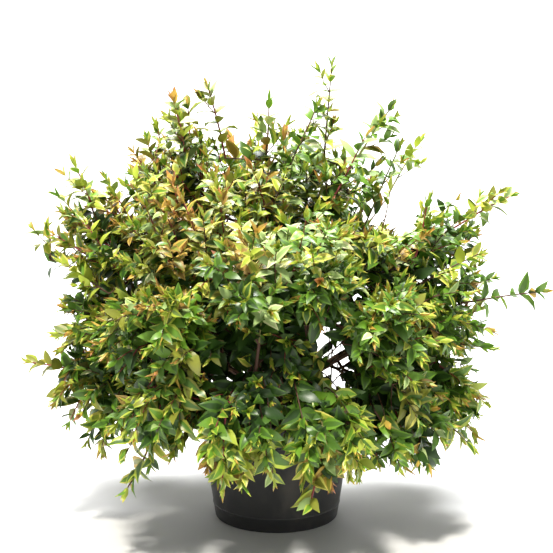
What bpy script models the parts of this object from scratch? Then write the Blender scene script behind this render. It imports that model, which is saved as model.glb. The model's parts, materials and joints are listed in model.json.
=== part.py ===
"""Kaleidoscope abelia in a plain nursery pot, as solids: pot, potting mix, short stem, boughs,
masses of foliage and the long leafy shoots that stand out of them.

Metres, +Z up. The origin is the middle of the pot's flat underside and the plant's front is -Y.
"""

import math

import bmesh
import bpy
from mathutils import Vector, noise
from mathutils.bvhtree import BVHTree

# Clearances between neighbouring solids
SEAT_GAP = 0.0003
MASS_GAP = 0.0005

# Pot
POT_HEIGHT = 0.170
POT_BASE_RADIUS = 0.094
POT_TOP_RADIUS = 0.118
POT_WALL = 0.0024
POT_FLOOR = 0.0035
RIM_WIDTH = 0.005
RIM_DEPTH = 0.016
BASE_ROUND = 0.003
POT_SIDES = 36
DRAIN_HOLES = 6
DRAIN_RADIUS = 0.007
DRAIN_RING = 0.066
DRAIN_SIDES = 12
SHARP_EDGE = math.radians(40)

# Potting mix
SOIL_LEVEL = 0.150
SOIL_ROUGHNESS = 0.0035
SOIL_RINGS = 5
SOIL_SIDES = 24
SOIL_EDGE_SHARE = 0.98
SOIL_MIDDLE_SHARE = 0.08
SOIL_LUMP_SIZE = 0.022
SOIL_FLAT_RADIUS = 0.037
SOIL_FLAT_FADE = 0.03
MIX_INSET = 0.0036

# Short stem, hidden under the foliage
STEM_HEIGHT = 0.046
STEM_TOP_RISE = 0.0015
STEM_RADIUS = 0.018
STEM_FLARE = 0.013
STEM_FLARE_HEIGHT = 0.010
STEM_HEAD_SWELL = 0.009
STEM_HEAD_SPREAD = 1.15
STEM_DOME_FROM = 0.55
STEM_DOME_DEPTH = 0.5
STEM_LEAN = (0.004, 0.003)
STEM_SIDES = 18
STEM_LEVELS = 9
STEM_FORK_SHARE = 0.62
ROOT_LOBES = 5
ROOT_LOBE_SWELL = 0.16
ROOT_LOBE_TURN = 0.7
KNUCKLES = 4
KNUCKLE_SWELL = 0.05

# Boughs
BOUGH_BASE_RADIUS = 0.0050
BOUGH_TIP_RADIUS = 0.0024
BOUGH_SIDES = 6
BOUGH_STATIONS = 8
BOUGH_WANDER = 0.024
BOUGH_THINNING = 0.85
CURVE_POINTS = 60
WANDER_LENGTH = 0.12

# Foliage
MASS_SIDES = 12
MASS_RINGS = 8
LOBE_DEPTH = 0.34
LOBE_SIZE = 0.055
HOLLOW_CENTRE = (0.0, 0.0, 0.27)
HOLLOW_RADIUS = 0.105
LOWEST_LEAF = 0.072
POT_CLEARANCE = 0.012

# Leafy shoots
SHOOT_SIDES = 6
SHOOT_STATIONS = 7
SHOOT_WANDER = 0.012
SHOOT_FOOT_RADIUS = 0.005
SHOOT_TIP_RADIUS = 0.003
SHOOT_BELLY = 0.7
SHOOT_LUMPS = 0.25
SHOOT_LUMP_SIZE = 0.02
SHOOT_LUMP_STRETCH = 6.0

# Each mass: the middle of it, and half its width, depth and height
MASSES = {
    "foliage_top_left": ((-0.129, 0.020, 0.525), (0.083, 0.085, 0.068)),
    "foliage_top_centre": ((-0.021, -0.020, 0.500), (0.070, 0.085, 0.078)),
    "foliage_top_right": ((0.082, 0.020, 0.505), (0.066, 0.085, 0.072)),
    "foliage_left_shoulder": ((-0.258, 0.020, 0.432), (0.072, 0.090, 0.078)),
    "foliage_left_middle": ((-0.260, -0.030, 0.305), (0.072, 0.095, 0.072)),
    "foliage_left_low": ((-0.256, -0.020, 0.190), (0.074, 0.090, 0.066)),
    "foliage_front_upper_left": ((-0.130, -0.130, 0.448), (0.088, 0.085, 0.086)),
    "foliage_front_left": ((-0.155, -0.190, 0.330), (0.092, 0.085, 0.080)),
    "foliage_front_low_left": ((-0.154, -0.195, 0.215), (0.078, 0.082, 0.074)),
    "foliage_front_centre": ((-0.040, -0.215, 0.395), (0.070, 0.080, 0.090)),
    "foliage_front_centre_right": ((0.052, -0.195, 0.410), (0.064, 0.080, 0.090)),
    "foliage_front_middle": ((0.006, -0.215, 0.275), (0.056, 0.065, 0.080)),
    "foliage_front_low_centre": ((-0.055, -0.225, 0.180), (0.072, 0.072, 0.066)),
    "foliage_front_low_right": ((0.066, -0.205, 0.172), (0.070, 0.070, 0.068)),
    "foliage_front_right": ((0.162, -0.150, 0.310), (0.058, 0.080, 0.084)),
    "foliage_right_low": ((0.180, -0.105, 0.180), (0.072, 0.085, 0.072)),
    "foliage_right_outer_low": ((0.252, 0.000, 0.196), (0.072, 0.085, 0.076)),
    "foliage_right_middle": ((0.240, -0.020, 0.322), (0.078, 0.095, 0.074)),
    "foliage_right_shoulder": ((0.240, 0.040, 0.418), (0.070, 0.085, 0.056)),
    "foliage_upper_right": ((0.152, -0.030, 0.450), (0.070, 0.085, 0.074)),
    "foliage_back_top": ((-0.010, 0.140, 0.490), (0.098, 0.088, 0.080)),
    "foliage_back_upper_left": ((-0.165, 0.165, 0.405), (0.096, 0.088, 0.092)),
    "foliage_back_upper_right": ((0.150, 0.165, 0.410), (0.096, 0.088, 0.088)),
    "foliage_back_centre": ((-0.010, 0.245, 0.360), (0.088, 0.075, 0.092)),
    "foliage_back_low_left": ((-0.175, 0.180, 0.235), (0.096, 0.090, 0.096)),
    "foliage_back_low_centre": ((-0.025, 0.240, 0.200), (0.076, 0.074, 0.086)),
    "foliage_back_low_right": ((0.205, 0.160, 0.245), (0.084, 0.090, 0.100)),
}

# Each bough: what it grows from, how far along that, the mass it runs to and how high it arches
BOUGHS = {
    "bough_left": ("stem", 0.0, "foliage_left_middle", 0.030),
    "bough_top_left": ("stem", 0.0, "foliage_top_left", 0.012),
    "bough_top_right": ("stem", 0.0, "foliage_top_right", 0.012),
    "bough_front_left": ("stem", 0.0, "foliage_front_left", 0.030),
    "bough_front_right": ("stem", 0.0, "foliage_front_right", 0.030),
    "bough_right": ("stem", 0.0, "foliage_right_middle", 0.030),
    "bough_back_left": ("stem", 0.0, "foliage_back_upper_left", 0.020),
    "bough_back_right": ("stem", 0.0, "foliage_back_upper_right", 0.020),
    "bough_left_shoulder": ("bough_left", 0.30, "foliage_left_shoulder", 0.020),
    "bough_front_upper_left": ("bough_top_left", 0.25, "foliage_front_upper_left", 0.010),
    "bough_top_centre": ("bough_top_right", 0.35, "foliage_top_centre", 0.000),
    "bough_upper_right": ("bough_top_right", 0.20, "foliage_upper_right", 0.010),
    "bough_front_centre": ("bough_front_right", 0.25, "foliage_front_centre_right", 0.015),
    "bough_front_low": ("bough_front_left", 0.25, "foliage_front_low_centre", 0.030),
    "bough_back_centre": ("bough_back_left", 0.25, "foliage_back_centre", 0.015),
}

# Each shoot: its tip, the place inside the foliage that it grows from, its sag and its widest radius
SHOOTS = {
    "shoot_top_left": ((-0.103, 0.000, 0.661), (-0.075, 0.000, 0.540), 0.004, 0.017),
    "shoot_top_left_outer": ((-0.146, -0.050, 0.634), (-0.130, -0.030, 0.540), 0.004, 0.016),
    "shoot_left_shoulder": ((-0.296, 0.000, 0.536), (-0.262, 0.010, 0.450), 0.004, 0.016),
    "shoot_left_upper": ((-0.352, 0.010, 0.432), (-0.262, 0.020, 0.420), 0.006, 0.015),
    "shoot_left": ((-0.366, -0.050, 0.250), (-0.270, -0.040, 0.225), -0.006, 0.016),
    "shoot_front_low_left": ((-0.208, -0.200, 0.104), (-0.165, -0.198, 0.200), 0.006, 0.015),
    "shoot_top_centre": ((-0.010, 0.030, 0.632), (-0.016, 0.000, 0.520), 0.003, 0.015),
    "shoot_top": ((0.081, 0.000, 0.688), (0.068, 0.005, 0.520), 0.006, 0.017),
    "shoot_top_right": ((0.174, 0.000, 0.628), (0.105, 0.005, 0.520), -0.010, 0.016),
    "shoot_right_shoulder": ((0.359, 0.050, 0.486), (0.250, 0.040, 0.420), -0.010, 0.016),
    "shoot_right": ((0.395, -0.050, 0.356), (0.260, -0.030, 0.330), -0.008, 0.016),
    "shoot_front_low_right": ((0.045, -0.240, 0.085), (0.068, -0.205, 0.170), 0.004, 0.014),
    "shoot_back_upper_right": ((0.235, 0.235, 0.555), (0.155, 0.170, 0.420), -0.008, 0.017),
    "shoot_back_left": ((-0.205, 0.265, 0.520), (-0.170, 0.170, 0.410), -0.008, 0.017),
    "shoot_back": ((0.030, 0.375, 0.420), (-0.010, 0.250, 0.370), -0.010, 0.016),
}


def clear_scene():
    """Take every object out of the scene."""
    for item in list(bpy.data.objects):
        bpy.data.objects.remove(item, do_unlink=True)


def finish(name, colour, roughness):
    """A plain material with the part's colour and roughness."""
    made = bpy.data.materials.new(name)
    made.use_nodes = True
    shader = made.node_tree.nodes["Principled BSDF"]
    shader.inputs["Base Color"].default_value = (*colour, 1.0)
    shader.inputs["Roughness"].default_value = roughness
    shader.inputs["Metallic"].default_value = 0.0
    return made


def place(name, mesh_data, surface, smooth=True):
    """Turn a bmesh into a named object in the scene."""
    bmesh.ops.recalc_face_normals(mesh_data, faces=mesh_data.faces)
    mesh = bpy.data.meshes.new(name)
    mesh_data.to_mesh(mesh)
    mesh_data.free()
    mesh.materials.append(surface)
    if smooth:
        mesh.shade_smooth()
        mesh.set_sharp_from_angle(angle=SHARP_EDGE)
    made = bpy.data.objects.new(name, mesh)
    bpy.context.collection.objects.link(made)
    return made


def join_rings(mesh_data, rings, first_pole, last_pole):
    """Skin a stack of rings of vertices and close both ends on a pole."""
    sides = len(rings[0])
    for low, high in zip(rings, rings[1:]):
        for side in range(sides):
            after = (side + 1) % sides
            mesh_data.faces.new((low[side], low[after], high[after]))
            mesh_data.faces.new((low[side], high[after], high[side]))
    for side in range(sides):
        after = (side + 1) % sides
        mesh_data.faces.new((first_pole, rings[0][after], rings[0][side]))
        mesh_data.faces.new((last_pole, rings[-1][side], rings[-1][after]))


def ring_at(mesh_data, radius, height, sides):
    """A level ring of vertices round the pot's axis."""
    turn = math.tau / sides
    return [
        mesh_data.verts.new((radius * math.cos(turn * i), radius * math.sin(turn * i), height))
        for i in range(sides)
    ]


def wall_radius(height):
    """The pot's outer radius at a height, on its straight taper."""
    return POT_BASE_RADIUS + (POT_TOP_RADIUS - POT_BASE_RADIUS) * height / POT_HEIGHT


def make_pot(plastic):
    """Tapered pot with a rolled rim, an open inside and holes through its floor."""
    rim_foot = POT_HEIGHT - RIM_DEPTH
    rim_radius = POT_TOP_RADIUS + RIM_WIDTH
    profile = [
        (POT_BASE_RADIUS - BASE_ROUND, 0.0),
        (wall_radius(BASE_ROUND), BASE_ROUND),
        (wall_radius(rim_foot), rim_foot),
        (rim_radius - POT_WALL / 2, rim_foot + POT_WALL / 2),
        (rim_radius, POT_HEIGHT - POT_WALL),
        (rim_radius - POT_WALL / 2, POT_HEIGHT),
        (POT_TOP_RADIUS - POT_WALL / 2, POT_HEIGHT),
        (POT_TOP_RADIUS - POT_WALL, POT_HEIGHT - POT_WALL),
        (wall_radius(POT_FLOOR + BASE_ROUND) - POT_WALL, POT_FLOOR + BASE_ROUND),
        (wall_radius(POT_FLOOR) - POT_WALL - BASE_ROUND, POT_FLOOR),
    ]
    shape = bmesh.new()
    rings = [ring_at(shape, radius, height, POT_SIDES) for radius, height in profile]
    underside = shape.verts.new((0.0, 0.0, 0.0))
    floor = shape.verts.new((0.0, 0.0, POT_FLOOR))
    join_rings(shape, rings, underside, floor)
    pot = place("pot", shape, plastic)

    cutter = make_drain_cutter(plastic)
    cut = pot.modifiers.new("drain_holes", "BOOLEAN")
    cut.operation = "DIFFERENCE"
    cut.solver = "EXACT"
    cut.object = cutter
    return pot


def make_drain_cutter(plastic):
    """The round pegs that the pot's drain holes are cut with."""
    pegs = bmesh.new()
    for hole in range(DRAIN_HOLES):
        angle = math.tau * hole / DRAIN_HOLES
        centre = Vector((math.cos(angle), math.sin(angle), 0.0)) * DRAIN_RING
        rings = []
        poles = []
        for level in (-POT_FLOOR, 2 * POT_FLOOR):
            ring = ring_at(pegs, DRAIN_RADIUS, level, DRAIN_SIDES)
            for corner in ring:
                corner.co += centre
            rings.append(ring)
            poles.append(pegs.verts.new(centre + Vector((0.0, 0.0, level))))
        join_rings(pegs, rings, poles[0], poles[1])
    cutter = place("drain_hole_cutter", pegs, plastic, smooth=False)
    cutter.hide_render = True
    cutter.display_type = "WIRE"
    return cutter


def soil_height(x, y):
    """The height of the potting mix, level under the stem and lumpy away from it."""
    away = min(1.0, max(0.0, (math.hypot(x, y) - SOIL_FLAT_RADIUS) / SOIL_FLAT_FADE))
    return SOIL_LEVEL + away * SOIL_ROUGHNESS * noise.noise(Vector((x, y, 0.0)) / SOIL_LUMP_SIZE)


def make_potting_mix(surface):
    """The root ball and potting mix that fill the pot."""
    shape = bmesh.new()
    foot = POT_FLOOR + SEAT_GAP
    low_radius = wall_radius(POT_FLOOR) - MIX_INSET - BASE_ROUND
    side_foot = foot + BASE_ROUND
    rings = [
        ring_at(shape, low_radius, foot, SOIL_SIDES),
        ring_at(shape, wall_radius(side_foot) - MIX_INSET, side_foot, SOIL_SIDES),
    ]
    top_radius = wall_radius(SOIL_LEVEL - SOIL_ROUGHNESS) - MIX_INSET
    rings.append(ring_at(shape, top_radius, SOIL_LEVEL - SOIL_ROUGHNESS, SOIL_SIDES))
    for step in range(SOIL_RINGS):
        share = step / SOIL_RINGS
        radius = top_radius * (SOIL_EDGE_SHARE + (SOIL_MIDDLE_SHARE - SOIL_EDGE_SHARE) * share)
        ring = ring_at(shape, radius, SOIL_LEVEL, SOIL_SIDES)
        for corner in ring:
            corner.co.z = soil_height(corner.co.x, corner.co.y)
        rings.append(ring)
    middle = shape.verts.new((0.0, 0.0, SOIL_LEVEL))
    join_rings(shape, rings, shape.verts.new((0.0, 0.0, foot)), middle)
    return place("potting_mix", shape, surface)


def make_stem(bark):
    """Short woody stem: flat cut at the soil, root flare, taper and a knuckled head."""
    shape = bmesh.new()
    foot = SOIL_LEVEL + SEAT_GAP
    lean = Vector((STEM_LEAN[0], STEM_LEAN[1], 0.0))
    rings = []
    for level in range(STEM_LEVELS):
        share = level / (STEM_LEVELS - 1)
        height = STEM_HEIGHT * share
        flare = math.exp(-height / STEM_FLARE_HEIGHT)
        swell = math.sin(math.pi * min(1.0, share * STEM_HEAD_SPREAD)) ** 2
        rise = max(0.0, (share - STEM_DOME_FROM) / STEM_DOME_DEPTH)
        dome = math.sqrt(max(0.0, 1 - rise**2))
        smooth_radius = (STEM_RADIUS + STEM_FLARE * flare + STEM_HEAD_SWELL * swell) * dome
        ring = ring_at(shape, smooth_radius, foot + height, STEM_SIDES)
        for side, corner in enumerate(ring):
            angle = math.tau * side / STEM_SIDES
            root = ROOT_LOBE_SWELL * flare * math.cos(ROOT_LOBES * angle + ROOT_LOBE_TURN)
            knuckle = KNUCKLE_SWELL * share * math.cos(KNUCKLES * angle)
            corner.co.x *= 1 + root + knuckle
            corner.co.y *= 1 + root + knuckle
            corner.co += lean * share
        rings.append(ring)
    low = shape.verts.new((0.0, 0.0, foot))
    top = shape.verts.new(lean + Vector((0.0, 0.0, foot + STEM_HEIGHT + STEM_TOP_RISE)))
    join_rings(shape, rings, low, top)
    return place("stem", shape, bark)


def ellipsoid_radius(half, direction):
    """How far an ellipsoid of these half sizes reaches from its middle along a direction."""
    return 1.0 / math.sqrt(sum((direction[i] / half[i]) ** 2 for i in range(3)))


def dividing_planes(name):
    """Planes that part a mass from its neighbours, the hollow, the pot and the floor."""
    centre = Vector(MASSES[name][0])
    half = MASSES[name][1]
    planes = []
    for other, (other_centre, other_half) in MASSES.items():
        if other == name:
            continue
        way = Vector(other_centre) - centre
        span = way.length
        way.normalize()
        own = ellipsoid_radius(half, way)
        theirs = ellipsoid_radius(other_half, way)
        planes.append((way, span * own / (own + theirs) - MASS_GAP / 2))
    way = Vector(HOLLOW_CENTRE) - centre
    planes.append((way.normalized(), way.length - HOLLOW_RADIUS))
    planes.append((Vector((0.0, 0.0, -1.0)), centre.z - LOWEST_LEAF))
    rim_radius = POT_TOP_RADIUS + RIM_WIDTH
    outward = Vector((centre.x, centre.y, 0.0))
    reach = outward.length
    outward.normalize()
    rim_point = outward * min(reach, rim_radius) + Vector((0.0, 0.0, min(centre.z, POT_HEIGHT)))
    way = rim_point - centre
    planes.append((way.normalized(), way.length - POT_CLEARANCE))
    return planes


def make_mass(name, leaves):
    """One uneven closed mass of foliage, cut back where its neighbours begin."""
    centre, half = MASSES[name]
    centre = Vector(centre)
    planes = dividing_planes(name)
    shape = bmesh.new()

    def surface_point(way):
        reach = ellipsoid_radius(half, way)
        lobe = noise.noise((centre + way * reach) / LOBE_SIZE)
        reach *= 1 + LOBE_DEPTH * lobe
        for normal, distance in planes:
            lean = normal.dot(way)
            if lean > 0:
                reach = min(reach, distance / lean)
        return shape.verts.new(centre + way * reach)

    rings = []
    for level in range(1, MASS_RINGS):
        tilt = math.pi * level / MASS_RINGS
        ring = []
        for side in range(MASS_SIDES):
            angle = math.tau * (side + 0.5 * (level % 2)) / MASS_SIDES
            flat = math.sin(tilt)
            way = Vector((flat * math.cos(angle), flat * math.sin(angle), -math.cos(tilt)))
            ring.append(surface_point(way))
        rings.append(ring)
    low = surface_point(Vector((0.0, 0.0, -1.0)))
    high = surface_point(Vector((0.0, 0.0, 1.0)))
    join_rings(shape, rings, low, high)
    return place(name, shape, leaves)


def wander(place_on, wavelength):
    """A smooth sideways push for a place, the same on every run."""
    spots = (Vector((0.0, 0.0, 0.0)), Vector((31.4, 0.0, 0.0)), Vector((0.0, 57.2, 0.0)))
    return Vector([noise.noise(place_on / wavelength + spot) for spot in spots])


def curve_points(start, middle, end, count):
    """Points along the smooth curve that start and end steer towards the middle point."""
    points = []
    for step in range(count):
        t = step / (count - 1)
        points.append(start * (1 - t) ** 2 + middle * (2 * t * (1 - t)) + end * t**2)
    return points


def tube_rings(points, radii, sides):
    """Rings of points round a path, turned along with it."""
    rings = []
    side_way = None
    for index, point in enumerate(points):
        before = points[max(0, index - 1)]
        after = points[min(len(points) - 1, index + 1)]
        along = (after - before).normalized()
        if side_way is None:
            side_way = along.orthogonal().normalized()
        side_way = (side_way - along * side_way.dot(along)).normalized()
        other_way = along.cross(side_way)
        ring = []
        for side in range(sides):
            angle = math.tau * side / sides
            spoke = side_way * math.cos(angle) + other_way * math.sin(angle)
            ring.append(point + spoke * radii[index])
        rings.append(ring)
    return rings


def first_touch(path, radius, sides, trees):
    """The share of the path, from its start, that an even tube covers before it meets a solid."""
    count = len(path)
    rings = tube_rings(path, [radius] * count, sides)
    best = 1.0
    for index in range(count - 1):
        lines = list(zip(rings[index], rings[index + 1])) + [(path[index], path[index + 1])]
        for begin, stop in lines:
            step = stop - begin
            for tree in trees:
                hit = tree.ray_cast(begin, step.normalized(), step.length)
                if hit[0] is not None:
                    best = min(best, (index + hit[3] / step.length) / (count - 1))
        if best < 1.0:
            return best
    return best


def part_of_path(path, start, stop, count):
    """Evenly spread points on the path between two shares of it."""
    last = len(path) - 1
    points = []
    for step in range(count):
        place_on = (start + (stop - start) * step / (count - 1)) * last
        index = min(int(place_on), last - 1)
        points.append(path[index].lerp(path[index + 1], place_on - index))
    return points


def path_length(path):
    """Length of a path of points."""
    return sum((b - a).length for a, b in zip(path, path[1:]))


def tube_shape(points, radii, sides):
    """A closed tapering tube along a path, as a bmesh."""
    shape = bmesh.new()
    rings = [
        [shape.verts.new(corner) for corner in ring] for ring in tube_rings(points, radii, sides)
    ]
    join_rings(shape, rings, shape.verts.new(points[0]), shape.verts.new(points[-1]))
    return shape


def meets(points, radii, sides, trees):
    """True where a tube along the path would cut into one of the solids."""
    shape = tube_shape(points, radii, sides)
    own = BVHTree.FromBMesh(shape)
    shape.free()
    return any(own.overlap(tree) for tree in trees)


def make_bough(name, carriers, mass_trees, bark):
    """One limb from the stem's head, or from another bough, to where it enters the foliage."""
    carrier, share, goal_name, arch = BOUGHS[name]
    carrier_tree, carrier_path, carrier_radius = carriers[carrier]
    goal = Vector(MASSES[goal_name][0])
    fork = part_of_path(carrier_path, share, 1.0, 2)[0]
    knee = fork.lerp(goal, 0.5) + Vector((0.0, 0.0, arch))
    knee += wander(goal, WANDER_LENGTH) * BOUGH_WANDER
    path = curve_points(fork, knee, goal, CURVE_POINTS)
    base = min(BOUGH_BASE_RADIUS, carrier_radius * BOUGH_THINNING)
    radii = [
        base + (BOUGH_TIP_RADIUS - base) * step / (BOUGH_STATIONS - 1)
        for step in range(BOUGH_STATIONS)
    ]
    step = SEAT_GAP / path_length(path)
    entry = first_touch(path, BOUGH_TIP_RADIUS, BOUGH_SIDES, mass_trees) - step
    back = part_of_path(path, entry, 0.0, CURVE_POINTS)
    leave = first_touch(back, base, BOUGH_SIDES, [carrier_tree])
    start = entry * (1 - leave) + step
    wood_trees = [tree for tree, _, _ in carriers.values()]
    points = part_of_path(path, start, entry, BOUGH_STATIONS)
    while meets(points, radii, BOUGH_SIDES, wood_trees):
        start += step
        points = part_of_path(path, start, entry, BOUGH_STATIONS)
    while meets(points, radii, BOUGH_SIDES, mass_trees):
        entry -= step
        points = part_of_path(path, start, entry, BOUGH_STATIONS)
    made = place(name, tube_shape(points, radii, BOUGH_SIDES), bark)
    carriers[name] = (tree_of(made), points, base)
    return made


def make_shoot(name, mass_trees, leaves):
    """One long leafy shoot, from the foliage it stands in to its tip."""
    tip, root, sag, widest = SHOOTS[name]
    tip = Vector(tip)
    root = Vector(root)
    knee = tip.lerp(root, 0.5) + Vector((0.0, 0.0, -sag)) + wander(tip, WANDER_LENGTH) * SHOOT_WANDER
    path = curve_points(tip, knee, root, CURVE_POINTS)
    radii = []
    for station in range(SHOOT_STATIONS):
        share = station / (SHOOT_STATIONS - 1)
        swell = math.sin(math.pi * share**SHOOT_BELLY)
        along = Vector((share * SHOOT_LUMP_STRETCH, 0.0, 0.0))
        lumps = 1 + SHOOT_LUMPS * noise.noise(tip / SHOOT_LUMP_SIZE + along)
        ends = SHOOT_TIP_RADIUS + (SHOOT_FOOT_RADIUS - SHOOT_TIP_RADIUS) * share
        radii.append(ends + (widest - SHOOT_FOOT_RADIUS) * swell * lumps)
    step = SEAT_GAP / path_length(path)
    kept = first_touch(path, SHOOT_TIP_RADIUS, SHOOT_SIDES, mass_trees) - step
    points = part_of_path(path, 0.0, kept, SHOOT_STATIONS)
    while meets(points, radii, SHOOT_SIDES, mass_trees):
        kept -= step
        points = part_of_path(path, 0.0, kept, SHOOT_STATIONS)
    foot_way = (points[-1] - points[-2]).normalized()
    while not meets(points, radii, SHOOT_SIDES, mass_trees):
        points[-1] = points[-1] + foot_way * SEAT_GAP
    points[-1] = points[-1] - foot_way * SEAT_GAP * 2
    return place(name, tube_shape(points, radii, SHOOT_SIDES), leaves)


def tree_of(made):
    """A search tree over an object's faces."""
    mesh = made.data
    corners = [corner.co.copy() for corner in mesh.vertices]
    faces = [tuple(face.vertices) for face in mesh.polygons]
    return BVHTree.FromPolygons(corners, faces)


def build():
    """Model the whole potted plant."""
    clear_scene()
    plastic = finish("pot_plastic", (0.018, 0.019, 0.020), 0.55)
    mix = finish("potting_mix_brown", (0.045, 0.028, 0.018), 0.95)
    bark = finish("abelia_bark", (0.16, 0.075, 0.045), 0.8)
    leaves = finish("variegated_leaves", (0.20, 0.30, 0.05), 0.5)
    young = finish("young_bronze_leaves", (0.42, 0.28, 0.08), 0.5)
    make_pot(plastic)
    make_potting_mix(mix)
    stem_heart = Vector((STEM_LEAN[0], STEM_LEAN[1], SOIL_LEVEL + STEM_HEIGHT * STEM_FORK_SHARE))
    heart_path = [stem_heart, stem_heart + Vector((0.0, 0.0, SEAT_GAP))]
    carriers = {"stem": (tree_of(make_stem(bark)), heart_path, STEM_RADIUS)}
    mass_trees = [tree_of(make_mass(name, leaves)) for name in MASSES]
    for name in BOUGHS:
        make_bough(name, carriers, mass_trees, bark)
    for name in SHOOTS:
        make_shoot(name, mass_trees, young)


build()
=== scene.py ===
"""Potted kaleidoscope abelia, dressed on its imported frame.

A pot, potting mix, bark, twigs and leaves take the place of the frame's plain solids. Limbs, twigs and
leaves grow on from the frame's boughs by one seeded rule. Metres, +Z up, the plant's front is -Y.
"""

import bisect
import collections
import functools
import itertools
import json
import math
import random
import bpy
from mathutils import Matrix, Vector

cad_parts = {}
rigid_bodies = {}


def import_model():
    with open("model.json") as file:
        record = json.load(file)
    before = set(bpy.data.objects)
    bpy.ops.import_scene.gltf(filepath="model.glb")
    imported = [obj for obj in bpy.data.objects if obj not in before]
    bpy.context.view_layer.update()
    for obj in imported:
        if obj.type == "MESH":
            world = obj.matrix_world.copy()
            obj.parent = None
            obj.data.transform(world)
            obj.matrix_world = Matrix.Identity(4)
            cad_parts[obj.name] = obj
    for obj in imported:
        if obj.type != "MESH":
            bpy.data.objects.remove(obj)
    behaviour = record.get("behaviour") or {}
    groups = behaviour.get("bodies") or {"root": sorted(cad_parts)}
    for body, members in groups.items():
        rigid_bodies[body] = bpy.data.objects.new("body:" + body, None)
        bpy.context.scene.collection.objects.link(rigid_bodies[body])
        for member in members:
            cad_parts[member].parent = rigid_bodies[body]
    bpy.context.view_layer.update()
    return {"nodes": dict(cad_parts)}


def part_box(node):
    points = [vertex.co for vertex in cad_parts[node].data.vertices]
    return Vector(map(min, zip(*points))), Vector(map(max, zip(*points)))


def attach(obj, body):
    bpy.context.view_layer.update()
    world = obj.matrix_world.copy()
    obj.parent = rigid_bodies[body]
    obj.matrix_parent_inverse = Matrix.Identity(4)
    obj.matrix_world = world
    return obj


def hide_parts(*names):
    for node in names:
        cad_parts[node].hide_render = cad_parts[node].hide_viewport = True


bl_info = {
    "name": "Potted kaleidoscope abelia",
    "version": (1, 0, 0),
    "blender": (4, 5, 0),
    "location": "View3D > Sidebar > Abelia",
    "description": "Dresses the frame of a potted kaleidoscope abelia with leaves, twigs, bark and pot",
    "category": "Object",
}

import bpy
import numpy as np
from bpy.props import FloatProperty, FloatVectorProperty, IntProperty, PointerProperty
from mathutils import Matrix, Vector, noise
from mathutils.bvhtree import BVHTree

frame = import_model()
NODES = frame["nodes"]

UP = Vector((0.0, 0.0, 1.0))
BODY = "root"
MOST_TRIANGLES = 200_000

# Where the crown is hollow, and where its boughs fork
HEART = Vector((0.0, 0.0, 0.26))
FORK = Vector((0.003, 0.002, 0.178))
LOWEST_LEAF = 0.080

# The photo's point of view
VIEW_DISTANCE = 2.2
VIEW_RISE = math.radians(10)
VIEW_TARGET = Vector((0.0, 0.0, 0.37))
VIEW_POINT = VIEW_TARGET + Vector(
    (0.0, -VIEW_DISTANCE * math.cos(VIEW_RISE), VIEW_DISTANCE * math.sin(VIEW_RISE))
)
SENSOR = 36.0
FRAME_WIDTH = 0.8295

# Gaps in the crown that show sky from the front: middle across and up at the crown's mid plane, half
# the width and half the height
SKY_GAPS = (
    (0.091, 0.236, 0.021, 0.042),
    (0.154, 0.462, 0.026, 0.014),
    (0.188, 0.447, 0.020, 0.014),
    (0.190, 0.500, 0.020, 0.036),
    (-0.066, 0.455, 0.007, 0.007),
    (-0.029, 0.392, 0.009, 0.007),
    (-0.215, 0.283, 0.008, 0.005),
    (-0.183, 0.291, 0.008, 0.005),
    (-0.143, 0.232, 0.008, 0.006),
    (-0.189, 0.201, 0.007, 0.006),
    (-0.223, 0.185, 0.007, 0.005),
)

# Dark hollows in the front of the crown, measured in the same way. Shoots there are set back and thinned,
# and most of their leaves take the deep tone, which is painted shade
DARK_HOLLOWS = (
    (-0.040, 0.222, 0.095, 0.085),
    (0.150, 0.190, 0.034, 0.036),
)

# Long sprigs seen against the sky besides the frame's own shoots: tip, and foot inside the crown
SPRIGS = {
    "top_left_crimson": ((-0.133, 0.030, 0.632), (-0.125, 0.020, 0.530)),
    "top_left_pink": ((-0.191, -0.020, 0.581), (-0.163, -0.030, 0.490)),
    "left_top_low": ((-0.208, -0.100, 0.538), (-0.139, -0.100, 0.455)),
    "left_top_back": ((-0.258, 0.030, 0.515), (-0.214, 0.030, 0.445)),
    "left_upper_front": ((-0.330, -0.030, 0.440), (-0.255, -0.030, 0.390)),
    "left_upper_back": ((-0.313, 0.020, 0.459), (-0.256, 0.020, 0.415)),
    "left_middle": ((-0.314, -0.060, 0.402), (-0.245, -0.060, 0.355)),
    "left_lower": ((-0.312, -0.020, 0.335), (-0.240, -0.030, 0.320)),
    "left_lowest": ((-0.315, -0.080, 0.298), (-0.240, -0.080, 0.300)),
    "top_inner": ((0.062, -0.030, 0.632), (0.010, -0.050, 0.520)),
    "top_middle": ((0.038, 0.040, 0.582), (0.035, 0.030, 0.490)),
    "top_right_low": ((0.187, 0.020, 0.571), (0.126, 0.020, 0.430)),
    "top_right_inner": ((0.132, -0.040, 0.588), (0.085, -0.050, 0.500)),
    "right_upper_inner": ((0.224, -0.030, 0.492), (0.205, -0.030, 0.405)),
    "right_upper": ((0.229, 0.050, 0.475), (0.203, 0.040, 0.390)),
    "right_upper_outer": ((0.300, -0.060, 0.417), (0.210, -0.060, 0.370)),
    "right_middle_back": ((0.332, 0.030, 0.364), (0.235, 0.020, 0.325)),
    "right_middle": ((0.317, -0.040, 0.269), (0.225, -0.040, 0.280)),
    "right_middle_low": ((0.316, 0.060, 0.275), (0.230, 0.050, 0.285)),
    "right_low": ((0.318, -0.020, 0.178), (0.235, -0.030, 0.245)),
    "right_lowest": ((0.293, -0.060, 0.120), (0.211, -0.070, 0.205)),
    "front_right_low": ((0.184, -0.150, 0.119), (0.139, -0.160, 0.205)),
    "front_low_right": ((0.113, -0.220, 0.126), (0.094, -0.215, 0.220)),
    "front_low": ((-0.003, -0.260, 0.133), (-0.019, -0.250, 0.220)),
    "front_low_left": ((-0.074, -0.260, 0.124), (-0.069, -0.250, 0.220)),
    "left_hanging": ((-0.261, -0.060, 0.118), (-0.239, -0.060, 0.215)),
}

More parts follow.
